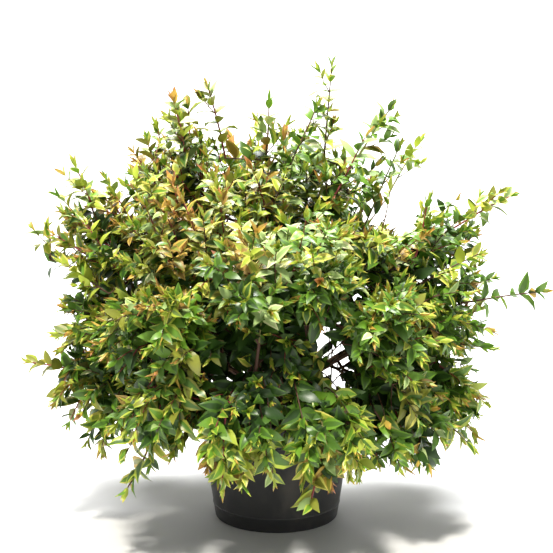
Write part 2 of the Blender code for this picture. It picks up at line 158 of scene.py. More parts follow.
# Bare dark twigs that cross the sky: one end and the other
BARE_TWIGS = {
    "upper_right_long": ((0.125, 0.000, 0.405), (0.172, -0.005, 0.474)),
    "upper_right_short": ((0.143, 0.000, 0.423), (0.196, 0.010, 0.446)),
    "gap_steep": ((0.075, 0.020, 0.290), (0.106, 0.010, 0.185)),
    "gap_upright": ((0.098, -0.020, 0.292), (0.090, -0.010, 0.215)),
    "gap_level": ((0.066, 0.010, 0.250), (0.118, 0.030, 0.196)),
    "gap_thin": ((0.083, 0.040, 0.295), (0.079, 0.030, 0.196)),
}

# Leaf tones by name: what each is, and its colour
TONES = {
    "deep": ("Leaf green in deep shade", (0.022, 0.060, 0.008)),
    "mid": ("Middle leaf green", (0.062, 0.140, 0.014)),
    "fresh": ("Fresh leaf green", (0.130, 0.270, 0.022)),
    "olive": ("Sunned olive green", (0.220, 0.235, 0.032)),
    "lime": ("Lime green of leaf margins", (0.370, 0.450, 0.050)),
    "yellow": ("Yellow of leaf margins", (0.620, 0.580, 0.110)),
    "gold": ("Golden orange of sunned margins", (0.550, 0.380, 0.070)),
    "cream": ("Cream of pale margins", (0.720, 0.720, 0.400)),
    "sage": ("Matt underside of a leaf", (0.280, 0.400, 0.130)),
    "pale_sage": ("Pale underside of a leaf", (0.470, 0.590, 0.240)),
    "grey_green": ("Grey green middle of a margined leaf", (0.140, 0.210, 0.060)),
    "bronze": ("Bronze of sunned leaves", (0.300, 0.190, 0.040)),
    "orange": ("Orange of young leaves", (0.520, 0.250, 0.070)),
    "pink": ("Pink of the youngest leaves", (0.560, 0.240, 0.150)),
}
TONE_NAMES = tuple(TONES)

# How tones pair up on a leaf, by kind of spray: middle tone, margin tone and how often
LEAF_PAIRS = {
    "deep": (("deep", "deep", 4), ("deep", "mid", 4), ("mid", "mid", 2)),
    "mid": (("mid", "mid", 4), ("mid", "fresh", 4), ("mid", "lime", 1), ("deep", "mid", 3)),
    "fresh": (("fresh", "lime", 2), ("mid", "fresh", 4), ("fresh", "fresh", 5)),
    "olive": (("olive", "lime", 2), ("olive", "yellow", 1), ("mid", "olive", 3), ("olive", "olive", 4)),
    "lime": (("lime", "yellow", 3), ("fresh", "lime", 3), ("fresh", "yellow", 1), ("lime", "lime", 3)),
    "margined": (
        ("grey_green", "lime", 2),
        ("mid", "lime", 3),
        ("fresh", "yellow", 2),
        ("lime", "yellow", 2),
    ),
    "bronze": (
        ("bronze", "gold", 2),
        ("olive", "gold", 3),
        ("bronze", "bronze", 2),
        ("olive", "bronze", 2),
    ),
    "under": (("sage", "sage", 3), ("sage", "pale_sage", 3), ("pale_sage", "cream", 1)),
    "warm_tip": (
        ("orange", "pink", 2),
        ("gold", "orange", 3),
        ("bronze", "orange", 3),
        ("lime", "gold", 2),
    ),
    "cool_tip": (("lime", "gold", 3), ("lime", "yellow", 3), ("gold", "orange", 1), ("fresh", "lime", 2)),
}

# Wood tones by name: what each is, and its colour
WOODS = {
    "dark_twig": ("Dark brown of inner twigs", (0.030, 0.014, 0.008)),
    "brown_twig": ("Brown of older twigs", (0.100, 0.045, 0.025)),
    "tan_twig": ("Tan of bare sunned twigs", (0.300, 0.170, 0.095)),
    "crimson_twig": ("Crimson of young shoots", (0.230, 0.035, 0.035)),
    "green_twig": ("Green of the youngest shoots", (0.160, 0.150, 0.040)),
}
WOOD_NAMES = tuple(WOODS)

# Leaf outline: share of the length, and share of half the width there
MATURE_OUTLINE = ((0.10, 0.52), (0.32, 1.0), (0.60, 0.82), (0.84, 0.32))
YOUNG_OUTLINE = ((0.16, 0.66), (0.42, 1.0), (0.74, 0.56))
SHADE_OUTLINE = ((0.28, 1.0), (0.70, 0.70))
MIDDLE_SHARE = (0.42, 0.68)
MATURE_FORMS = 8
YOUNG_FORMS = 4
SHADE_FORMS = 3
TWIG_SIDES = 5


def colour(title, what, value):
    """A colour that a user may change."""
    limits = {"min": 0.0, "max": 1.0}
    return FloatVectorProperty(name=title, description=what, default=value, subtype="COLOR", **limits)


def length(title, what, value):
    """A length that a user may change."""
    return FloatProperty(name=title, description=what, default=value, min=0.0, max=1.0, subtype="DISTANCE")


def share(title, what, value, most=1.0):
    """A plain share or strength that a user may change."""
    return FloatProperty(name=title, description=what, default=value, min=0.0, max=most, subtype="FACTOR")


def power(title, what, value):
    """A light's power that a user may change."""
    return FloatProperty(name=title, description=what, default=value, min=0.0, subtype="POWER")


def title_of(name):
    """A name in the script as the panel shows it."""
    return name.replace("_", " ").capitalize()


def tint_settings(class_name, tones):
    """A property group with one colour for each named tone."""
    fields = {name: colour(title_of(name), what, value) for name, (what, value) in tones.items()}
    return type(class_name, (bpy.types.PropertyGroup,), {"__annotations__": fields})


ABELIA_PG_leaf_tones = tint_settings("ABELIA_PG_leaf_tones", TONES)
ABELIA_PG_wood_tones = tint_settings("ABELIA_PG_wood_tones", WOODS)


class ABELIA_PG_growth(bpy.types.PropertyGroup):
    """Sizes of the limbs, shoots and leaves."""

    seed: IntProperty(name="Seed", description="Seed of every random choice", default=7, min=0)
    tip_spacing: length("Tip spacing", "Distance between the tips of neighbouring shoots", 0.038)
    shoot_length: length("Shoot length", "Middling length of a leafy shoot", 0.105)
    pair_spacing: length("Pair spacing", "Distance between pairs of leaves on old wood", 0.0135)
    leaf_length: length("Leaf length", "Length of a grown leaf", 0.0350)
    young_length: length("Young leaf length", "Length of the youngest leaves at a tip", 0.0180)
    twig_radius: length("Twig radius", "Radius of a shoot at its tip", 0.00070)
    shoot_radius: length("Shoot radius", "Radius of a shoot at its foot", 0.00120)
    side_twigs: share("Side twigs", "How often a leaf's axil holds a side twig", 0.16)


class ABELIA_PG_pot(bpy.types.PropertyGroup):
    """Finish of the pot and the potting mix."""

    plastic: colour("Plastic", "Moulded plastic of the pot", (0.020, 0.021, 0.022))
    dust: colour("Dust", "Dried splashes and dust on the pot", (0.150, 0.130, 0.105))
    mix_dark: colour("Mix, dark", "Damp peat", (0.018, 0.011, 0.007))
    mix_light: colour("Mix, light", "Bark crumbs", (0.110, 0.062, 0.034))
    crumb_size: length("Crumb size", "Middling size of a bark crumb", 0.0055)


class ABELIA_PG_bark(bpy.types.PropertyGroup):
    """Finish of the stem and the boughs."""

    dark: colour("Bark, dark", "Furrows between the flakes", (0.050, 0.022, 0.013))
    light: colour("Bark, light", "Flaking outer bark", (0.270, 0.155, 0.092))
    relief: length("Relief", "Height of the bark's ridges", 0.0006)


class ABELIA_PG_stage(bpy.types.PropertyGroup):
    """The plain floor and the studio light."""

    floor: colour("Floor", "Plain pale floor and the backdrop that it runs up into", (0.62, 0.62, 0.62))
    sky: colour("Surround", "Plain pale surround", (1.0, 1.0, 1.0))
    sky_strength: share("Surround strength", "Light from the surround", 0.36, 5.0)
    key_power: power("Key light", "Power of the light from above in front", 225.0)
    fill_power: power("Fill light", "Power of the weak light from the front right", 10.0)
    back_power: power("Backdrop light", "Power of the light on the backdrop", 420.0)
    top_power: power("Top light", "Power of the light from above behind", 60.0)


class ABELIA_PG_settings(bpy.types.PropertyGroup):
    """Everything that a user would change."""

    growth: PointerProperty(type=ABELIA_PG_growth)
    leaf_tones: PointerProperty(type=ABELIA_PG_leaf_tones)
    wood_tones: PointerProperty(type=ABELIA_PG_wood_tones)
    pot: PointerProperty(type=ABELIA_PG_pot)
    bark: PointerProperty(type=ABELIA_PG_bark)
    stage: PointerProperty(type=ABELIA_PG_stage)


def settings():
    """The scene's settings for the plant."""
    return bpy.context.scene.abelia


# Reading the frame

SPINE_CURVE_DEGREE = 3
POLE_SPREAD = 0.0008
SKIN_CLEARANCE = 0.018
SKIN_FACING = -0.12


def corners_of(node):
    """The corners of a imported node, each once."""
    mesh = NODES[node].data
    flat = np.empty(len(mesh.vertices) * 3, np.float32)
    mesh.vertices.foreach_get("co", flat)
    return np.unique(np.round(flat.reshape(-1, 3), 5), axis=0).astype(float)


def nodes_named(prefix):
    """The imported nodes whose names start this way, in order."""
    return sorted(name for name in NODES if name.startswith(prefix))


def spine_of(node, foot_near, count):
    """Points and radii along the middle of a packed limb, from its foot to its tip."""
    corners = corners_of(node)
    foot = corners[np.argmin(np.linalg.norm(corners - np.array(foot_near), axis=1))]
    tip = corners[np.argmax(np.linalg.norm(corners - foot, axis=1))]
    chord = tip - foot
    shares = (corners - foot) @ chord / (chord @ chord)
    curve = np.polyfit(shares, corners, SPINE_CURVE_DEGREE)
    powers = np.arange(SPINE_CURVE_DEGREE, -1, -1)
    spreads = np.linalg.norm(corners - (shares[:, None] ** powers) @ curve, axis=1)
    round_about = spreads > POLE_SPREAD
    thinning = np.polyfit(shares[round_about], spreads[round_about], 1)
    steps = np.linspace(0.0, 1.0, count)
    points = [Vector(point) for point in (steps[:, None] ** powers) @ curve]
    return points, [float(np.polyval(thinning, step)) for step in steps]


@functools.lru_cache(maxsize=None)
def mass_trees():
    """A search tree over the faces of each mass of foliage."""
    trees = {}
    for name in nodes_named("foliage_"):
        mesh = NODES[name].data
        corners = [corner.co.copy() for corner in mesh.vertices]
        trees[name] = BVHTree.FromPolygons(corners, [tuple(face.vertices) for face in mesh.polygons])
    return trees


def depth_in(tree, point):
    """How deep a point lies under a solid's surface; below zero outside it."""
    spot, normal, _, distance = tree.find_nearest(point)
    return distance if (point - spot).dot(normal) < 0 else -distance


@functools.lru_cache(maxsize=None)
def crown_skin():
    """The faces of the masses that look out of the crown: corners, normal and area, with a tree."""
    faces = []
    for name, own in mass_trees().items():
        others = [tree for tree in mass_trees().values() if tree is not own]
        mesh = NODES[name].data
        for face in mesh.polygons:
            ahead = face.center + face.normal * SKIN_CLEARANCE
            inward = face.normal.dot((face.center - HEART).normalized()) < SKIN_FACING
            if inward or any(depth_in(tree, ahead) > 0 for tree in others):
                continue
            corners = [mesh.vertices[index].co.copy() for index in face.vertices]
            faces.append((corners, face.normal.copy(), face.area))
    places = [corner for corners, _, _ in faces for corner in corners]
    return faces, BVHTree.FromPolygons(places, [(i, i + 1, i + 2) for i in range(0, len(places), 3)])


def skin_depth(point):
    """How far a point inside the crown lies from the crown's outer faces."""
    return depth_in(crown_skin()[1], point)


def in_oval(point, ovals):
    """True where a place, seen from the photo's view point, falls in an oval on the crown's mid plane."""
    way = point - VIEW_POINT
    met = VIEW_POINT + way * (-VIEW_POINT.y / way.y)
    return any(
        ((met.x - x) / half_width) ** 2 + ((met.z - z) / half_height) ** 2 < 1
        for x, z, half_width, half_height in ovals
    )


def in_front_hollow(point):
    """True in a dark hollow of the crown's front."""
    return point.y < 0 and in_oval(point, DARK_HOLLOWS)


# Growth: tips, shoots and the limbs that carry them

TIP_TRIES = 26_000
CELL = 0.05
CROWN_FOOT = 0.10
CROWN_RISE = 0.42
SHOOT_POINTS = 9
TIP_DEPTH = (0.004, 0.034)
TOP_REACH = 0.036
TOP_SHARES = (0.65, 0.95)
SIDE_REACH = 0.006
SIDE_FROM = (0.17, 0.26)
SHOOT_LENGTHS = (0.72, 1.28)
SHOOT_VIGOURS = (0.86, 1.14)
LEVELLING = 0.5
LEVEL_PULL = 0.8
SKIN_PULL = 0.35
SHOOT_WANDER = 0.35
ARCH_WANDER = 0.07
HOLLOW_DEPTHS = (0.045, 0.0825)
HOLLOW_SHARE = 0.55
# Share of shoots in a front hollow that take the deep tone, painted shade
HOLLOW_DEEP_SHARE = 0.8

# A shoot's lift and arch, from the hanging foot of the crown to its top
LIFTS = (-0.75, 0.85)
ARCHES = (0.30, 0.06)
VIGOURS = (1.10, 0.90)

Shoot = collections.namedtuple("Shoot", "path kind size wood stout", defaults=(1.0,))


def blend(low, high, amount):
    """Between two values."""
    return low + (high - low) * amount


def ease(value, low, high):
    """A smooth step from 0 at low to 1 at high."""
    amount = min(1.0, max(0.0, (value - low) / (high - low)))
    return amount * amount * (3 - 2 * amount)


def any_way(rng):
    """A random unit direction."""
    height = rng.uniform(-1, 1)
    turn = rng.uniform(0, math.tau)
    flat = math.sqrt(1 - height * height)
    return Vector((flat * math.cos(turn), flat * math.sin(turn), height))


def height_share(place):
    """0 at the hanging foot of the crown and 1 at its top."""
    return min(1.0, max(0.0, (place.z - CROWN_FOOT) / CROWN_RISE))


def spoke_at(side, other, turn):
    """A direction turned from one way towards another."""
    return side * math.cos(turn) + other * math.sin(turn)


def runs_along(points):
    """The distance of each point of a path from its first one."""
    return list(itertools.accumulate([0.0, *((b - a).length for a, b in zip(points, points[1:]))]))


def bend(start, first, second, end, count):
    """Points along a smooth curve with two control points."""
    points = []
    for step in range(count):
        t = step / (count - 1)
        s = 1 - t
        points.append(start * s**3 + first * (3 * s * s * t) + second * (3 * s * t * t) + end * t**3)
    return points


def spread_tips(rng, spacing):
    """Evenly scattered places on the crown's skin, each with its face's normal."""
    faces, _ = crown_skin()
    totals = list(itertools.accumulate(area for _, _, area in faces))
    kept = collections.defaultdict(list)
    tips = []
    for _ in range(TIP_TRIES):
        (a, b, c), normal, _ = faces[bisect.bisect_left(totals, rng.uniform(0, totals[-1]))]
        first = rng.random()
        second = rng.random()
        if first + second > 1:
            first, second = 1 - first, 1 - second
        place = a + (b - a) * first + (c - a) * second
        x, y, z = (math.floor(value / CELL) for value in place)
        cells = itertools.product((x - 1, x, x + 1), (y - 1, y, y + 1), (z - 1, z, z + 1))
        if all((place - other).length >= spacing for cell in cells for other in kept[cell]):
            kept[x, y, z].append(place)
            tips.append((place, normal))
    return tips


def shoot_towards(tip, normal, rng):
    """The path of an arching shoot that ends near a place on the skin."""
    out = (tip - HEART).normalized()
    level = Vector((out.x, out.y, out.z * LEVELLING)).normalized()
    high = height_share(tip)
    inward = rng.uniform(*TIP_DEPTH)
    inward -= rng.random() ** 2 * TOP_REACH * ease(high, *TOP_SHARES)
    inward -= rng.random() ** 2 * SIDE_REACH * ease(abs(tip.x), *SIDE_FROM)
    tip = tip - normal * inward
    if in_front_hollow(tip):
        tip = tip + Vector((0.0, rng.uniform(*HOLLOW_DEPTHS), 0.0))
    heading = level * LEVEL_PULL + normal * SKIN_PULL + UP * blend(*LIFTS, high)
    heading = (heading + any_way(rng) * SHOOT_WANDER).normalized()
    span = settings().growth.shoot_length * rng.uniform(*SHOOT_LENGTHS)
    foot = tip - heading * span
    arch = UP * (span * blend(*ARCHES, high)) + any_way(rng) * (ARCH_WANDER * span)
    return bend(foot, foot.lerp(tip, 0.35) + arch, foot.lerp(tip, 0.72) + arch * 0.8, tip, SHOOT_POINTS)


LIMB_STEP = 0.018
STRAIGHTNESS = 0.35
BOUGH_POINTS = 9
FIRST_GROWING_POINT = 5
LIMB_SAG = 0.05
NO_CARRIER = 1e9
SMOOTHING_ROUNDS = 4
PIPE_POWER = 2.6
BOUGH_TIP_RADIUS = 0.0024
LIMB_SWELL = 1.15


class Wood:
    """Woody places, each with the one it grows from and its distance from the stem."""

    def __init__(self):
        self.places = []
        self.parents = []
        self.runs = []
        self.open_places = []
        for name in nodes_named("bough_"):
            parent = -1
            for index, point in enumerate(spine_of(name, FORK, BOUGH_POINTS)[0]):
                parent = self.add(point, parent)
                if index >= FIRST_GROWING_POINT:
                    self.open_places.append(parent)
        self.first_free = len(self.places)

    def add(self, place, parent):
        """Add a place that grows from another, and give its number."""
        reach = self.runs[parent] + (place - self.places[parent]).length if parent >= 0 else 0.0
        self.places.append(place)
        self.parents.append(parent)
        self.runs.append(reach)
        return len(self.places) - 1

    def grow_limbs(self, feet):
        """Join each foot of a shoot to the nearest wood, short ways and straight runs first."""
        goals = np.array(feet)
        best = np.full(len(feet), NO_CARRIER)
        carrier = np.full(len(feet), -1)
        done = np.zeros(len(feet), bool)
        joined = set()

        def offer(number):
            """Let this place carry each free foot that it reaches more cheaply than any before it."""
            cost = np.linalg.norm(goals - np.array(self.places[number]), axis=1)
            cost = cost + STRAIGHTNESS * self.runs[number]
            better = (cost < best) & ~done
            best[better] = cost[better]
            carrier[better] = number

        for number in self.open_places:
            offer(number)
        for _ in feet:
            index = int(np.argmin(np.where(done, NO_CARRIER * 2, best)))
            done[index] = True
            number = int(carrier[index])
            begin = self.places[number]
            end = Vector(goals[index])
            reach = (end - begin).length
            steps = max(1, round(reach / LIMB_STEP))
            for step in range(1, steps + 1):
                amount = step / steps
                sag = UP * (LIMB_SAG * reach * math.sin(math.pi * amount))
                number = self.add(begin.lerp(end, amount) + sag, number)
                offer(number)
            joined.add(number)
        return joined

    def smooth(self, pinned):
        """Even out the limbs' corners, leave the boughs where they are, and give each place's children."""
        children = collections.defaultdict(list)
        for number, parent in enumerate(self.parents):
            children[parent].append(number)
        for _ in range(SMOOTHING_ROUNDS):
            for number in range(self.first_free, len(self.places)):
                if number in pinned or number not in children:
                    continue
                ahead = sum((self.places[child] for child in children[number]), Vector((0.0, 0.0, 0.0)))
                ahead = ahead / len(children[number])
                middle = (ahead + self.places[self.parents[number]]) / 2
                self.places[number] = self.places[number].lerp(middle, 0.5)
        return children

    def radii(self, feet, foot_radius):
        """Radii by the pipe rule: a limb is as thick as all that it carries."""
        load = foot_radius**PIPE_POWER
        loads = [load * (number in feet) for number in range(len(self.places))]
        for number in range(len(self.places) - 1, -1, -1):
            if self.parents[number] >= 0:
                loads[self.parents[number]] += loads[number]
        return [max(carried, load * 0.5) ** (1 / PIPE_POWER) for carried in loads]

    def limbs(self, shoots):
        """The limbs that carry the shoots: runs that go on into their thickest child, with radii."""
        foot_radius = settings().growth.shoot_radius
        feet = self.grow_limbs([shoot.path[0] for shoot in shoots])
        children = self.smooth(feet)
        radii = self.radii(feet, foot_radius)
        thickest = {}
        for parent, branch in children.items():
            if parent >= 0:
                thickest[parent] = max(branch, key=lambda child: (radii[child], -child))
        limbs = []
        for number in range(self.first_free, len(self.places)):
            parent = self.parents[number]
            if parent >= self.first_free and thickest.get(parent) == number:
                continue
            run = [parent, number]
            while run[-1] in thickest:
                run.append(thickest[run[-1]])
            thick = [min(radii[place], BOUGH_TIP_RADIUS) for place in run]
            thick[0] = min(thick[0], thick[1] * LIMB_SWELL)
            limbs.append(([self.places[place] for place in run], thick))
        return limbs


SHOOT_KINDS = ("olive", "fresh", "mid", "lime", "margined", "bronze", "deep")

# Where the crown's tones change: the beginning and the end of each smooth step, measured up, across to
# the right and back, or with the sign changed where the step runs down, left or to the front
# The sunned and crest steps make tones toward the top paler: partly the plant's own tint, partly painted
# light for top leaves lit from behind
SUNNED_HEIGHTS = (0.36, 0.56)
LOW_DEPTHS = (-0.22, -0.13)
LEFT_REACHES = (-0.02, 0.16)
RIGHT_REACHES = (0.06, 0.22)
INSIDE_FROM = 0.05
PALE_BETWEEN = ((-0.03, 0.02), (0.09, 0.13))
PALE_HEIGHTS = ((0.27, 0.32), (0.44, 0.50))
PALE_FRONT = (0.06, 0.12)
CREST_BETWEEN = ((0.0, 0.05), (0.14, 0.18))
CREST_HEIGHTS = (0.46, 0.50)


def between(value, rise, fall):
    """A smooth bump: 0 below its rise, 1 in its middle and 0 above its fall."""
    return ease(value, *rise) * (1 - ease(value, *fall))


def kind_at(place, rng):
    """The kind of spray that grows at a place: bronze and olive in the sun, fresh and lime below. Deep
    green inside the crown and low on the right is painted shade, and the paler tones toward the top are
    partly painted light.
    """
    x, y, z = place
    sunned = ease(z, *SUNNED_HEIGHTS)
    left = ease(-x, *LEFT_REACHES)
    low = ease(-z, *LOW_DEPTHS)
    right = ease(x, *RIGHT_REACHES)
    inside = max(0.0, skin_depth(place) - INSIDE_FROM)
    pale = between(x, *PALE_BETWEEN) * between(z, *PALE_HEIGHTS) * ease(-y, *PALE_FRONT)
    crest = between(x, *CREST_BETWEEN) * ease(z, *CREST_HEIGHTS)
    green = 1 - 0.7 * sunned * left
    # Lime, olive and underside tones toward the top and on the crest are partly painted light for top
    # leaves lit from behind
    lime = 0.45 - 0.25 * right + 0.5 * sunned + 0.3 * sunned * right + 0.4 * low + crest
    chances = {
        "under": 2.6 * pale + 1.0 * crest,
        "bronze": 0.03 + 1.3 * sunned * left + 0.15 * sunned + 0.15 * left,
        "olive": 0.30 + 1.3 * left + 1.0 * sunned,
        "fresh": (0.9 + 0.7 * right + 0.5 * (1 - left)) * green,
        "mid": (0.3 + 1.3 * (1 - sunned)) * green,
        "lime": lime * green,
        "margined": 0.20 + 1.3 * low * (1 - right) * (1 - left),
        # Deep green inside the crown and low on the right paints the shade there
        "deep": (0.15 + 0.5 * right * low) * (1 - sunned) + 8.0 * inside,
    }
    return rng.choices(list(chances), list(chances.values()))[0]


CRIMSON_HEIGHTS = (0.36, 0.52)
CRIMSON_REACHES = (-0.10, 0.10)
CRIMSON_SHARE = 0.18
SUNNED_CRIMSON_SHARE = 0.6
BROWN_UP_TO = 0.85


def wood_at(place, rng):
    """The tone of a young shoot's stem at a place."""
    sunned = ease(place.z, *CRIMSON_HEIGHTS) * ease(-place.x, *CRIMSON_REACHES)
    roll = rng.random()
    if roll < CRIMSON_SHARE + SUNNED_CRIMSON_SHARE * sunned:
        return "crimson_twig"
    return "brown_twig" if roll < BROWN_UP_TO else "green_twig"


SPRIG_POINTS = 14
SPRIG_SWAY = 0.05
SPRIG_ARCH = 0.03
SPRIG_FOOT_RUN = 0.03
SPRIG_LEAF_SHARE = 1.08
SPRIG_STOUTNESS = 1.35
LEAFY_SHARE = 0.90
WARM_SPRIG_FROM = 0.4
WARM_SPRIG_KINDS = ("bronze", "olive", "olive", "lime")
COOL_SPRIG_KINDS = ("lime", "olive", "fresh", "lime", "margined")


def sprig_path(foot, tip, rng):
    """The path of a long sprig that stands out of the crown."""
    span = (tip - foot).length
    sway = any_way(rng) * (SPRIG_SWAY * span)
    first = foot.lerp(tip, 0.35) + sway + UP * (SPRIG_ARCH * span)
    return bend(foot, first, foot.lerp(tip, 0.70) - sway * 0.5, tip, SPRIG_POINTS)


def frame_sprig_path(node):
    """The path of one of the frame's own long shoots, run on into the crown behind it."""
    points, _ = spine_of(node, HEART, SPRIG_POINTS)
    return [points[0] + (points[0] - points[2]).normalized() * SPRIG_FOOT_RUN] + points


def grown():
    """The whole plant: leafy shoots, and the limbs that carry them as places with radii."""
    growth = settings().growth
    rng = random.Random(growth.seed)
    shoots = []
    for tip, normal in spread_tips(rng, growth.tip_spacing):
        path = shoot_towards(tip, normal, rng)
        hollow = in_front_hollow(tip)
        if path[-1].z < LOWEST_LEAF or in_oval(path[-1], SKY_GAPS) or in_oval(path[-3], SKY_GAPS):
            continue
        if hollow and rng.random() > HOLLOW_SHARE:
            continue
        # Most shoots left in a front hollow take the deep tone: painted shade
        kind = "deep" if hollow and rng.random() < HOLLOW_DEEP_SHARE else kind_at(tip, rng)
        vigour = rng.uniform(*SHOOT_VIGOURS) * blend(*VIGOURS, height_share(tip))
        shoots.append(Shoot(path, kind, vigour, wood_at(tip, rng)))
    sprigs = [frame_sprig_path(name) for name in nodes_named("shoot_")]
    sprigs += [sprig_path(Vector(foot), Vector(tip), rng) for tip, foot in SPRIGS.values()]
    for path in sprigs:
        # The tuft of young leaves reaches the sprig's drawn tip, so its wood ends a point before that
        path = path[:-1]
        tip = path[-1]
        kinds = WARM_SPRIG_KINDS if tip.x < 0 and tip.z > WARM_SPRIG_FROM else COOL_SPRIG_KINDS
        shoots.append(Shoot(path, rng.choice(kinds), SPRIG_LEAF_SHARE, wood_at(tip, rng), SPRIG_STOUTNESS))
    return shoots, Wood().limbs(shoots)


# Leaves: what each shoot bears

TOP_FROM = 0.445
TOP_SPLIT = -0.04
FRONT_WITHIN = 48
BACK_BEYOND = 135
LIGHT_WAY = Vector((-0.15, -0.35, 1.0)).normalized()
STRAY_SPRAY = 0.10
UNDERSIDE_FACING = -0.12
FULL_SIZE_RUN = 0.038
LEAST_SIZE = 0.66
FIRST_PAIR_RUN = (0.007, 0.010)
DROOPS = (0.05, 0.32)
LEAF_WANDER = 0.16

# How strongly a leaf's face turns to the light, out of the crown, along its shoot and any other way
FACE_LIGHT = 0.55
FACE_OUT = 0.45
FACE_SHOOT = 0.40
FACE_WANDER = 0.38

DEEP_LEAF = 0.055
# How often leaves deep in the crown or in a front hollow take the deep tone, painted shade
DEEP_SHARE = 0.85
HOLLOW_BARE = 0.45
PALE_EVERYWHERE = 0.05
# Extra underside tones toward the top: partly underside colour, partly painted light for top leaves lit
# from behind
PALE_TOP = 0.16
TIP_WARMTH = {"bronze": 0.85, "olive": 0.45}
COOL_TIP_WARMTH = 0.08
PALE_TOP_HEIGHTS = (0.42, 0.56)
TUFT_COUNTS = (3, 5)
TUFT_SPREADS = (0.25, 0.90)
TUFT_SIZES = (0.80, 1.30)
TUFT_WANDER = 0.15
YOUNG_SIZES = (0.85, 1.25)
LEAF_SIZES = (0.84, 1.16)
LEAF_WIDTHS = (0.90, 1.12)
PAIR_GAPS = (0.85, 1.15)
NEARLY_UPRIGHT = 0.05
SPRAY_FLATNESS = 0.75
GROWN_SPREADS = (44, 70)
SPREAD_RUN = 0.05
LEAF_KEPT = 0.96
GAP_GROWTH = 1.3
FORK_FROM = 0.028
SIDE_REACHES = (0.024, 0.048)
SIDE_LIFTS = (-0.25, 0.35)
SIDE_POINTS = 5
SIDE_PULL = 0.75
SIDE_WANDER = 0.15
SIDE_BOW = 0.12
SIDE_ARCH = 0.06
LOWEST_SIDE_TIP = LOWEST_LEAF + 0.01
SIDE_VIGOUR = 0.85
SIDE_STOUTNESS = 0.8
SHADE_SPREAD = math.radians(62)
SHADE_SIZES = (0.95, 1.3)
THICKEST_LEAFY_LIMB = 0.0022
DARK_LIMB_UNDER = 0.0016
BARE_TWIG_RADII = (0.0010, 0.0005)


